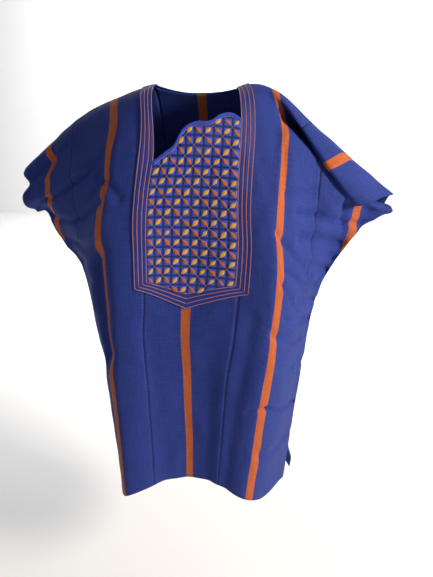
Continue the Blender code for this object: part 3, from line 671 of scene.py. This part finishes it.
def finish_piece(piece, slot_name, *nodes):
    """Rides on the one body, and hides the solids that it stands for; its slot's name is not used."""
    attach(piece, "root")
    if nodes:
        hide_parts(*nodes)


def lay_grid(name, lines, lift=0.0):
    """A grid laid over lines of places, hem to shoulder, with its flat cut kept as its UV map."""
    rows, columns = len(lines), len(lines[0])
    bpy.ops.mesh.primitive_grid_add(x_subdivisions=columns - 1, y_subdivisions=rows - 1, size=1.0)
    piece = bpy.context.object
    piece.name = name
    flat = np.empty(len(piece.data.vertices) * 3)
    piece.data.vertices.foreach_get("co", flat)
    flat = flat.reshape(-1, 3)
    column = np.rint((flat[:, 0] + 0.5) * (columns - 1)).astype(int)
    row = np.rint((flat[:, 1] + 0.5) * (rows - 1)).astype(int)
    places = np.array(lines, float).reshape(-1, 2)[row * columns + column]
    points = cloth_points(places, lift)
    piece.data.vertices.foreach_set("co", points.ravel())
    corners = np.empty(len(piece.data.loops), int)
    piece.data.loops.foreach_get("vertex_index", corners)
    piece.data.uv_layers.active.data.foreach_set("uv", places[corners].ravel())
    piece.data.update()
    return piece


def thicken(piece, thick):
    """Gives the cloth its thickness, outwards, and shades it smooth."""
    wall = piece.modifiers.new("thickness", "SOLIDIFY")
    wall.thickness = thick
    wall.offset = 1.0
    bpy.context.view_layer.objects.active = piece
    bpy.ops.object.modifier_apply(modifier=wall.name)
    piece.data.shade_smooth()
    piece.select_set(False)


# Hand-woven cotton, plain weave: blue warp and weft with an orange band of warp down the
# middle of every strip.  Dull, slightly fuzzy, each thread a little darker or lighter than
# the next.  Threads 0.7 mm apart are drawn twice as coarse, so that they show.
THREAD = 0.0014
STRIPE = 0.0175  # width of the orange warp band
STRIPE_BLUR = 0.003  # half width of the stripe's soft edge, in strip widths
PUCKER = (0.478, 0.497)  # the cloth sinks towards a seam between these, in strip widths, and is darkened there with painted shade
SEAM_PAINTED_SHADE = 0.05  # how much darker the painted shade makes it there
SLUBS = ((900.0, 26.0), (30.0, 700.0))  # streaks along the warp and along the weft
SLUB_RANGE = (0.75, 1.25)  # of the two streaks' sum, from the darker tone to the lighter


def woven_cotton(name, ground, shade, stripe, stripe_shade):
    made, tree, shader = new_material(name)
    cut, across, drop = flat_cut(tree)
    # Distance from the middle of the strip, in strip widths
    strips = reckon(tree, "DIVIDE", across, STRIP)
    middle = reckon(tree, "SUBTRACT", strips, reckon(tree, "ROUND", strips))
    beside = reckon(tree, "ABSOLUTE", middle)
    edge = STRIPE / 2 / STRIP
    inside = stretched(tree, beside, edge - STRIPE_BLUR, edge + STRIPE_BLUR, 1.0, 0.0)
    at_seam = stretched(tree, beside, *PUCKER)
    slubs = reckon(tree, "ADD", *[uneven(tree, cut, scale) for scale in SLUBS])
    tone = stretched(tree, slubs, *SLUB_RANGE)
    blue = mixed(tree, tone, linear(shade), linear(ground))
    orange = mixed(tree, tone, linear(stripe_shade), linear(stripe))
    # Painted shade: towards each seam the colour is darkened towards navy, where the sunk cloth lies
    # in shade
    painted_seam_shadow = reckon(tree, "MULTIPLY", at_seam, SEAM_PAINTED_SHADE)
    seamed = mixed(tree, painted_seam_shadow, mixed(tree, inside, blue, orange), linear("#101434"))
    tree.links.new(seamed, shader.inputs["Base Color"])
    # Over and under: warp and weft threads cross as two waves, half a beat apart
    waves = []
    for place, other in ((across, drop), (drop, across)):
        turn = reckon(tree, "MULTIPLY", place, 2 * math.pi / THREAD)
        beat = reckon(tree, "MULTIPLY", other, math.pi / THREAD)
        rise, sway = reckon(tree, "COSINE", turn), reckon(tree, "COSINE", beat)
        waves.append(reckon(tree, "MULTIPLY", rise, sway))
    threads = bumped(tree, reckon(tree, "ADD", *waves), 0.00018, 0.7)
    uneven_threads = bumped(tree, slubs, 0.0012, 0.5, Normal=threads)
    # The seams lie a little lower than the middles of the strips
    puckered = bumped(tree, at_seam, 0.0008, 0.5, Normal=uneven_threads)
    puckered.node.invert = True
    tree.links.new(puckered, shader.inputs["Normal"])
    shader.inputs["Roughness"].default_value = 0.75
    shader.inputs["Specular IOR Level"].default_value = 0.25
    shader.inputs["Sheen Weight"].default_value = 0.08
    shader.inputs["Sheen Roughness"].default_value = 0.40
    shader.inputs["Sheen Tint"].default_value = linear("#8C96D8")
    return made


strip_cotton = woven_cotton("hand-woven striped cotton", "#273D94", "#1F3078", "#C4683A", "#A65028")


def cells(start, end, size=CELL):
    """Even steps of about one cell between two places."""
    return np.linspace(start, end, max(int(round((end - start) / size)), 1) + 1)


# The scalloped top edge of the bib, which the centre strip is cut to as well
Scallop = namedtuple("Scallop", "across drop")
SCALLOPS = (
    Scallop(-NECK_HALF, 0.186),
    Scallop(-0.058, 0.173),
    Scallop(-0.038, 0.160),
    Scallop(-0.022, 0.137),
    Scallop(0.000, 0.123),
    Scallop(0.026, 0.120),
    Scallop(0.042, 0.108),
    Scallop(0.060, 0.103),
    Scallop(NECK_HALF, 0.110),
)


def scallop_edge(across):
    """The drop of the scalloped edge at this distance across."""
    table = np.array(SCALLOPS)
    return float(through(table[:, 0], table[:, 1], across)[0])


def strip_lines(columns_at, drops):
    """Lines of places, one for each drop, across the columns that the strip has there."""
    return [[(across, drop) for across in columns_at(drop)] for drop in drops]


def uneven_lines(columns, tops, join, facing):
    """Lines from an uneven top edge, such as the neck, down to the hem of the front or back."""
    steps = cells(0.0, join - min(tops)) / (join - min(tops))
    upper = [[top + (join - top) * step for top in tops] for step in steps[:-1]]
    lower = [[drop] * len(columns) for drop in cells(join, LENGTH)]
    lines = [[(u, facing * v) for u, v in zip(columns, row)] for row in upper + lower]
    return lines[::-1] if facing > 0 else lines


def make_strip(name, lines, node):
    """One woven strip in the place of its solid, with the flat cut that it stands for."""
    strip = lay_grid(name, lines)
    thicken(strip, CLOTH_THICK)
    strip.data.materials.append(strip_cotton)
    finish_piece(strip, "strip_cloth", node)


# Centre strip: cut away at the neck, in front along the scalloped edge of the bib and
# behind in a shallow round; it hangs free of the shoulders as a front and a back length.
BACK_NECK = 0.042  # depth of the round at the back
FRONT_JOIN, BACK_JOIN = 0.210, 0.090  # from here down the rows run level
TOP_CLEAR = 0.001  # from the scallops, or the back neck, to the cloth's cut edge

half = STRIP / 2 + SEAM_LAP
columns = cells(-half, half)
front_tops = [scallop_edge(across) + TOP_CLEAR for across in columns]
make_strip(
    "centre_strip_front_cloth",
    uneven_lines(columns, front_tops, FRONT_JOIN, 1),
    "centre_strip_front",
)
rounds = [math.sqrt(max(1 - (across / half) ** 2, 0.0)) for across in columns]
back_tops = [BACK_NECK * depth + 2 * TOP_CLEAR for depth in rounds]
make_strip(
    "centre_strip_back_cloth",
    uneven_lines(columns, back_tops, BACK_JOIN, -1),
    "centre_strip_back",
)

# Inner strips: one length each, front hem to back hem, beside the neck.
over_shoulder = cells(-LENGTH, LENGTH)[::-1]
for side, hand in ((-1, "right"), (1, "left")):
    near, far = STRIP / 2 - SEAM_LAP, 3 * STRIP / 2 + SEAM_LAP
    columns = sorted(side * across for across in cells(near, far))
    make_strip(
        f"inner_strip_{hand}_cloth",
        strip_lines(lambda drop: columns, over_shoulder),
        f"inner_strip_{hand}",
    )

# Outer strips: the sleeves, full width over the arm and curved in under it to a narrow side
# panel, whose front and back edges meet in the side seam down to the slit.
outer_near = 3 * STRIP / 2 - SEAM_LAP
sleeve_drops = np.linspace(0.0, LENGTH, 400)
panel_widths = cut_edge(sleeve_drops) - outer_near
for side, hand in ((-1, "right"), (1, "left")):
    steps = cells(0.0, 1.0, CELL / STRIP)

    def columns_at(drop):
        far = float(cut_edge(abs(drop)))
        return sorted(side * (outer_near + (far - outer_near) * step) for step in steps)

    make_strip(
        f"outer_strip_{hand}_cloth",
        strip_lines(columns_at, over_shoulder),
        f"outer_strip_{hand}",
    )

# ---------------------------------------------------------------------------------------
# The bib: a panel of royal blue satin laid on the front, quilted by machine into a grid of
# small squares and worked with satin-stitch leaves.  Its top edge is free and scalloped.
BAND = 0.025  # width of the corded band round the bib
BAND_CORNER = 0.398  # drop of the band's outer corners
BAND_POINT = 0.440  # drop of its point
POINT_INSET = 0.029  # from the outer point to the inner one
CORNER_RISE = 0.21  # the inner corners lie higher by this share of the band's pointed end
EDGING = 0.0065  # width of the satin edging on the scallops
UNDER_EDGING = 0.7  # the bib's cut edge lies under it, this share of its width down
BIB_THICK = 0.0008
BIB_LIFT = CLOTH_THICK + BIB_THICK
BIB_CELL = 0.0021
COLUMNS, ROWS = 10, 19  # of squares
COLUMN = 2 * NECK_HALF / COLUMNS
ROW = 0.0166
GROOVE = 0.0012  # depth of the quilting
GROOVE_PAINTED_SHADE = (0.45, 0.95)  # of the wave across a square, from the bright pillow to the painted navy shade of the groove
SATIN_FLOATS = (1500.0, 90.0)  # the satin's lustre, painted into its colour as sheen and bumped, finely streaked upright

inner_point = BAND_POINT - POINT_INSET
inner_corner = BAND_CORNER - (BAND_POINT - BAND_CORNER) * CORNER_RISE


def pointed(across, half, corner, point):
    """The drop of a pointed foot: its corners at half its width, its point in the middle."""
    return point - (point - corner) * min(abs(across) / half, 1.0)


def quilted(places):
    """Height of the quilting: pillows one square wide, sunk along the grid's lines."""
    u = np.cos(2 * np.pi * (places[:, 0] / COLUMN))
    v = np.cos(2 * np.pi * ((inner_point - places[:, 1]) / ROW))
    return -GROOVE * np.maximum(np.clip(u, 0, 1) ** 2, np.clip(v, 0, 1) ** 2)


columns = np.linspace(-NECK_HALF + SEAM_GAP, NECK_HALF - SEAM_GAP, round(2 * NECK_HALF / BIB_CELL))
tops = np.array([scallop_edge(across) + EDGING * UNDER_EDGING for across in columns])
feet = np.array([pointed(across, NECK_HALF, inner_corner, inner_point) for across in columns])
steps = np.linspace(1.0, 0.0, round((inner_point - tops.min()) / BIB_CELL))
bib_lines = [list(zip(columns, tops + (feet - tops) * step)) for step in steps]
bib_ground = lay_grid("bib_ground", bib_lines, lift=lambda places: BIB_LIFT + GROOVE + quilted(places))
thicken(bib_ground, BIB_THICK)
finish_piece(bib_ground, "bib_satin", "bib_panel")

# Royal blue satin: bright on the pillows of the squares, with painted shade turning it navy
# down in the quilted lines, and the fine upright lustre of its floating threads painted in as sheen.
satin, tree, shader = new_material("royal blue satin")
cut, across, drop = flat_cut(tree)
sunk = []
for place, pitch, start in ((across, COLUMN, 0.0), (drop, ROW, inner_point)):
    turn = reckon(tree, "MULTIPLY", reckon(tree, "SUBTRACT", place, start), 2 * math.pi / pitch)
    sunk.append(stretched(tree, reckon(tree, "COSINE", turn), *GROOVE_PAINTED_SHADE))
floats = uneven(tree, cut, SATIN_FLOATS)
# Painted sheen: the floats' streaks run from a deeper to a brighter royal blue
painted_lustre = mixed(tree, floats, linear("#2038AC"), linear("#3460E2"))
# Painted shade: navy in the quilted grooves, royal on the pillows
quilt_painted_shade = mixed(tree, reckon(tree, "MAXIMUM", *sunk), painted_lustre, linear("#141A50"))
tree.links.new(quilt_painted_shade, shader.inputs["Base Color"])
tree.links.new(bumped(tree, floats, 0.0004, 0.6), shader.inputs["Normal"])
shader.inputs["Roughness"].default_value = 0.42
shader.inputs["Sheen Weight"].default_value = 0.15
shader.inputs["Anisotropic"].default_value = 0.4
bib_ground.data.materials.append(satin)


# Embroidery thread: rayon, glossy, laid in close slanted stitches.  Each thread catches the light
# along its length, and that light is painted into its colour: a painted highlight on each stitch,
# painted shade in the gap beside it, and painted sheen in patches.
STITCH = 0.0007
STITCH_SLANT = 0.6  # how far a stitch leans along the piece, over its width
STITCH_PAINTED_HIGHLIGHT = 0.18  # of the painted highlight, between a stitch and the gap beside it
PATCHES = 420.0  # scale of the patches painted duller and shinier as painted sheen, per metre


def stitched_thread(name, painted_lit, painted_dim, pitch=STITCH):
    """Thread whose stitches lie across the piece's own length, the first axis of its UV map."""
    made, tree, shader = new_material(name)
    place, along, over = flat_cut(tree)
    slant = reckon(tree, "MULTIPLY_ADD", over, STITCH_SLANT, along)
    wave = reckon(tree, "SINE", reckon(tree, "MULTIPLY", slant, 2 * math.pi / pitch))
    painted_sheen_patches = uneven(tree, place, (PATCHES, PATCHES), detail=1.0)
    tone = reckon(tree, "MULTIPLY_ADD", wave, STITCH_PAINTED_HIGHLIGHT, painted_sheen_patches)
    # Painted light: the colour runs from the dim copy of the thread in painted shade to the lit copy
    # in painted highlight
    tree.links.new(mixed(tree, tone, linear(painted_dim), linear(painted_lit)), shader.inputs["Base Color"])
    tree.links.new(bumped(tree, wave, 0.00015, 0.8), shader.inputs["Normal"])
    shader.inputs["Roughness"].default_value = 0.55
    shader.inputs["Specular IOR Level"].default_value = 0.35
    shader.inputs["Sheen Weight"].default_value = 0.05
    return made


def thread_piece(name, points, faces, uvs, thread):
    """One piece of thread work from its points, faces and UV map."""
    mesh = bpy.data.meshes.new(name)
    mesh.from_pydata(points.tolist(), [], faces)
    mesh.uv_layers.new(name="UVMap").data.foreach_set("uv", uvs.ravel())
    mesh.materials.append(thread)
    mesh.shade_smooth()
    piece = bpy.data.objects.new(name, mesh)
    bpy.context.scene.collection.objects.link(piece)
    return piece


def copies_on_cloth(name, pattern, faces, uvs, settings, thread):
    """Many copies of one small shape, joined: each is turned, sized and put on the cloth."""
    all_places, all_heights = [], []
    for across, drop, angle, size in settings:
        cosine, sine = math.cos(angle), math.sin(angle)
        u = across + size * (pattern[:, 0] * cosine - pattern[:, 1] * sine)
        v = drop - size * (pattern[:, 0] * sine + pattern[:, 1] * cosine)
        all_places.append(np.column_stack([u, v]))
        all_heights.append(pattern[:, 2])
    places = np.vstack(all_places)
    points = cloth_points(places, np.concatenate(all_heights))
    count = len(pattern)
    joined = []
    for copy in range(len(settings)):
        joined += [[corner + count * copy for corner in face] for face in faces]
    piece = thread_piece(name, points, joined, np.tile(uvs.ravel(), len(settings)), thread)
    finish_piece(piece, "embroidery_thread")


def small_shape(make, shape):
    """One copy of a small shape: a primitive, shaped, then read and removed."""
    make()
    pattern = bpy.context.object
    points = np.array([shape(vertex.co) for vertex in pattern.data.vertices])
    faces = [list(face.vertices) for face in pattern.data.polygons]
    uvs = np.array([points[corner, :2] for face in faces for corner in face])
    bpy.data.objects.remove(pattern, do_unlink=True)
    return points, faces, uvs


# The leaves: one in every square, lying along a diagonal, so that four of them point at
# every second crossing of the quilting.  Those on one diagonal are gold, on the other rust.
LEAF_LONG, LEAF_WIDE, LEAF_HIGH = 0.0152, 0.0078, 0.0010
LEAF_SUNK = 0.0004  # how deep its underside lies in the satin
LEAF_BASE = BIB_LIFT + BIB_THICK + GROOVE
LEAF_CLEAR, CORD_CLEAR = 0.0035, 0.0012  # between them and the edges of the bib


def leaf(point):
    """A lens, wider towards one end, domed above the satin."""
    taper = max(1.0 - abs(point.x) ** 1.7, 0.0) * (1.0 - 0.18 * point.x)
    round_up = max(1.0 - point.x**2, 0.0) ** 0.5
    height = max(LEAF_HIGH * point.z * round_up, -LEAF_SUNK)
    return point.x * LEAF_LONG / 2, point.y * taper * LEAF_WIDE / 2, LEAF_BASE + height


def leaf_start():
    """A sphere with its poles at the two ends of the leaf."""
    bpy.ops.mesh.primitive_uv_sphere_add(
        segments=14, ring_count=8, radius=1.0, rotation=(0, math.pi / 2, 0)
    )
    bpy.ops.object.transform_apply(location=False, rotation=True, scale=False)


def on_bib(across, drop, margin):
    """Whether a place is on the bib, inside its edges by a margin."""
    foot = pointed(across, NECK_HALF, inner_corner, inner_point)
    return scallop_edge(across) + EDGING + margin < drop < foot - margin * 0.4


leaf_parts = small_shape(leaf_start, leaf)
dice = np.random.default_rng(5)
gold_leaves, rust_leaves = [], []
for column in range(COLUMNS):
    for row in range(ROWS):
        across = -NECK_HALF + COLUMN * (column + 0.5)
        drop = inner_point - ROW * (row + 0.5)
        if not on_bib(across, drop, LEAF_CLEAR):
            continue
        rising = (column + row) % 2 == 0
        lean = math.atan2(ROW, COLUMN) * (1 if rising else -1) + dice.normal(0, 0.07)
        size = 0.96 + dice.normal(0, 0.06)
        flip = math.pi if dice.random() < 0.5 else 0.0
        setting = (across + dice.normal(0, 0.0004), drop + dice.normal(0, 0.0004), lean + flip, size)
        (gold_leaves if rising else rust_leaves).append(setting)
# Each thread is given as its lit and its dim colour, between which highlight and shade are painted
gold_thread = stitched_thread("gold rayon thread", "#FFC640", "#D08A22")
rust_thread = stitched_thread("rust rayon thread", "#D8762C", "#9A4C1E")
copies_on_cloth("bib_leaves_gold", *leaf_parts, gold_leaves, gold_thread)
copies_on_cloth("bib_leaves_rust", *leaf_parts, rust_leaves, rust_thread)


# Cords: threads couched down along a line on the cloth, as thin tubes.
def cords_on_cloth(
    name, routes, radius, height, thread, slot_name="embroidery_thread", sides=6, step=0.004
):
    """One thin tube along each route of places, with its length kept as the UV map's first axis."""
    ring = np.linspace(0.0, 2 * math.pi, sides, endpoint=False)
    places, stops, counts = [], [], []
    for route in routes:
        route = np.asarray(route, float)
        run = np.concatenate([[0.0], np.cumsum(np.hypot(*np.diff(route, axis=0).T))])
        count = max(int(run[-1] / step), 2) + 1
        stop = np.linspace(0.0, run[-1], count)
        places.append(np.column_stack([np.interp(stop, run, route[:, axis]) for axis in (0, 1)]))
        stops.append(stop)
        counts.append(count)
    places = np.vstack(places)
    middle = cloth_points(places, height)
    up = cloth_points(places, height + 0.001) - middle
    up /= np.linalg.norm(up, axis=1)[:, None]
    points, faces, uvs = [], [], []
    first = 0
    for count, stop in zip(counts, stops):
        here = slice(first, first + count)
        along = np.gradient(middle[here], axis=0)
        sideways = np.cross(along, up[here])
        sideways /= np.linalg.norm(sideways, axis=1)[:, None]
        offset = (
            sideways[:, None] * np.cos(ring)[None, :, None]
            + up[here][:, None] * np.sin(ring)[None, :, None]
        )
        points.append((middle[here][:, None] + radius * offset).reshape(-1, 3))
        wide = radius * 2 * math.pi / sides
        for place in range(count - 1):
            near, ahead = (first + place) * sides, (first + place + 1) * sides
            for side in range(sides):
                beside = (side + 1) % sides
                faces.append((near + side, ahead + side, ahead + beside, near + beside))
                low, high = side * wide, (side + 1) * wide
                uvs += [(stop[place], low), (stop[place + 1], low)]
                uvs += [(stop[place + 1], high), (stop[place], high)]
        start, end = first * sides, (first + count - 1) * sides
        faces.append(tuple(range(start, start + sides)))
        faces.append(tuple(range(end + sides - 1, end - 1, -1)))
        uvs += [(0.0, 0.0)] * (2 * sides)
        first += count
    piece = thread_piece(name, np.vstack(points), faces, np.array(uvs), thread)
    finish_piece(piece, slot_name)


# Lilac threads run from leaf to leaf along the diagonals and cross where the leaves point.
# Given as lit and dim colours, between which highlight and shade are painted
lilac_thread = stitched_thread("lilac twisted thread", "#A594C8", "#6E609C", pitch=0.0012)
diagonals = []
for rising in (1, -1):
    for start in range(-20, 30, 2):
        route = []
        for step in np.linspace(0.0, ROWS, 2 * ROWS + 1):
            across, drop = -NECK_HALF + COLUMN * (start + rising * step), inner_point - ROW * step
            if abs(across) < NECK_HALF - 0.001 and on_bib(across, drop, CORD_CLEAR):
                route.append((across, drop))
        if len(route) > 1:
            diagonals.append(route)
cords_on_cloth(
    "bib_crossing_threads", diagonals, 0.00032, LEAF_BASE + 0.0001, lilac_thread, sides=5
)

# Satin edging: close stitches wrapped over the cut edge of the scallops.
EDGING_HIGH = 0.0018
columns = np.linspace(-NECK_HALF + SEAM_GAP, NECK_HALF - SEAM_GAP, 120)
tops = np.array([scallop_edge(across) for across in columns])
steps = np.linspace(1.0, 0.0, 9)
edging_lines = [list(zip(columns, tops + EDGING * step)) for step in steps]


def wrapped(places):
    """Height of the edging: a half round from the cut edge to its inner side."""
    tops_here = np.array([scallop_edge(across) for across in places[:, 0]])
    share = np.clip((places[:, 1] - tops_here) / EDGING, 0.0, 1.0)
    return BIB_LIFT + EDGING_HIGH * np.sqrt(np.clip(1.0 - (2 * share - 1.0) ** 2, 0.0, 1.0))


edging = lay_grid("bib_satin_edging", edging_lines, lift=wrapped)
thicken(edging, BIB_THICK)
# Given as lit and dim colours, between which highlight and shade are painted
edging_thread = stitched_thread("royal blue satin stitch", "#2F50E0", "#1A2890", pitch=0.0011)
edging.data.materials.append(edging_thread)
finish_piece(edging, "edging_satin", "bib_edging")

# ---------------------------------------------------------------------------------------
# The neck band: four pairs of orange and lilac threads couched side by side, with ribs of
# navy and royal satin stitch between them, round the bib and the neck in one loop.
BAND_CELL = 0.0045
PAIR_AT = (0.03, 0.34, 0.66, 0.97)  # where the pairs lie across the band's width
PAIR_SPACING = 0.313
RIB_HIGH = 0.0011


def band_side():
    """Inner and outer edge of the band from the bib's point to the middle of the back."""
    edges = []
    foot = math.hypot(NECK_HALF + BAND, BAND_POINT - BAND_CORNER)
    for share in cells(0.0, 1.0, BAND_CELL / foot):
        outer = (share * (NECK_HALF + BAND), pointed(share, 1.0, BAND_CORNER, BAND_POINT))
        inner = (share * NECK_HALF, pointed(share, 1.0, inner_corner, inner_point))
        edges.append((inner, outer))
    for share in cells(0.0, 1.0, BAND_CELL / BAND_CORNER)[1:]:
        inner = (NECK_HALF, inner_corner * (1 - share))
        edges.append((inner, (NECK_HALF + BAND, BAND_CORNER * (1 - share))))
    for angle in cells(0.0, math.pi / 2, BAND_CELL / (NECK_HALF + BAND))[1:]:
        sideways, down = math.cos(angle), -math.sin(angle)
        outer = ((NECK_HALF + BAND) * sideways, (BACK_NECK + BAND) * down)
        edges.append(((NECK_HALF * sideways, BACK_NECK * down), outer))
    return edges


side_edges = band_side()
loop = side_edges + [((-i[0], i[1]), (-o[0], o[1])) for i, o in side_edges[-2:0:-1]]
loop_inner = np.array([inner for inner, outer in loop])
loop_outer = np.array([outer for inner, outer in loop])


def across_band(share):
    """The closed route at a share of the band's width from its inner edge."""
    route = loop_inner + (loop_outer - loop_inner) * share
    return np.vstack([route, route[:1]])


shares = np.linspace(0.0, 1.0, 17)
band_lines = [list(map(tuple, across_band(share))) for share in shares]
ribs = [
    RIB_HIGH * abs(math.sin(math.pi * (share - PAIR_AT[0]) / PAIR_SPACING)) for share in shares
]
band_at = {tuple(place): rise for line, rise in zip(band_lines, ribs) for place in line}


def ribbed(places):
    """Height of the ribs: nothing under each pair of threads, full between them."""
    return BIB_LIFT + np.array([band_at[tuple(place)] for place in places])


band = lay_grid("neck_band_ribs", band_lines, lift=ribbed)
bpy.ops.object.mode_set(mode="EDIT")
bpy.ops.mesh.select_all(action="SELECT")
bpy.ops.mesh.remove_doubles(threshold=0.00001)
bpy.ops.object.mode_set(mode="OBJECT")
thicken(band, BIB_THICK)
# Royal is its lit colour and navy its dim one: highlight and shade painted on the ribs' stitches
band.data.materials.append(stitched_thread("navy satin stitch", "#2440B8", "#10143A", pitch=0.0011))
finish_piece(band, "embroidery_thread", "neck_band")

# The pairs: an orange thread outside, a lilac one inside, each about a millimetre thick.
THREAD_RADIUS = 0.00046
# Given as lit and dim colours, between which highlight and shade are painted
orange_thread = stitched_thread("orange twisted thread", "#D07C48", "#94502E", pitch=0.0016)
pair_gap = 2.1 * THREAD_RADIUS / BAND
top = BIB_LIFT + BIB_THICK + THREAD_RADIUS * 0.4
for name, offset, thread in (
    ("neck_band_orange_threads", pair_gap / 2, orange_thread),
    ("neck_band_lilac_threads", -pair_gap / 2, lilac_thread),
):
    routes = [across_band(min(max(share + offset, 0.01), 0.99)) for share in PAIR_AT]
    cords_on_cloth(name, routes, THREAD_RADIUS, top, thread)
# One lilac thread follows the scallops just inside their edging.
inside_scallops = [(u, scallop_edge(u) + EDGING + 0.0012) for u in np.linspace(-0.076, 0.076, 90)]
cords_on_cloth("bib_edge_thread", [inside_scallops], THREAD_RADIUS, LEAF_BASE, lilac_thread)

# ---------------------------------------------------------------------------------------
# Hand sewing: dark blue thread whips the strips together, and holds the turned hems.
SEW_RADIUS = 0.00030
SEAM_STITCH = 0.0062  # from one stitch to the next
# Given as lit and dim colours, between which highlight and shade are painted
sewing_thread = stitched_thread("dark blue cotton thread", "#4A58A8", "#28306A", pitch=0.001)
STITCH_OVER = 0.0016  # a seam stitch reaches this far to each side
HEM_STITCH, HEM_GAP = 0.0038, 0.0037
HEM_PITCH = HEM_STITCH + HEM_GAP
HEM_END = 0.268
seam_routes = []
for seam in (STRIP / 2, 3 * STRIP / 2):
    for at in (-seam, seam):
        for drop in np.arange(-LENGTH + 0.004, LENGTH - 0.004, SEAM_STITCH):
            if seam > STRIP / 2 or drop < -0.04 or drop > scallop_edge(at) + 0.01:
                slant = [(at - STITCH_OVER, drop), (at, drop + 0.0009)]
                seam_routes.append([*slant, (at + STITCH_OVER, drop + 0.0018)])
hem_routes = []
for facing in (1, -1):
    hem = facing * (LENGTH - SEAM_ALLOWANCE)
    for across in np.arange(-HEM_END, HEM_END, HEM_PITCH):
        hem_routes.append([(across, hem), (across + HEM_STITCH, hem)])
    for side in (-1, 1):
        cuff = side * (HALF_CUT - SEAM_ALLOWANCE)
        for drop in np.arange(0.002, CUFF_DEPTH - 0.010, HEM_PITCH):
            hem_routes.append([(cuff, facing * drop), (cuff, facing * (drop + HEM_STITCH))])
for name, routes in (("seam_stitches", seam_routes), ("hem_stitches", hem_routes)):
    cords_on_cloth(
        name, routes, SEW_RADIUS, CLOTH_THICK, sewing_thread, "strip_cloth", sides=4, step=0.0018
    )
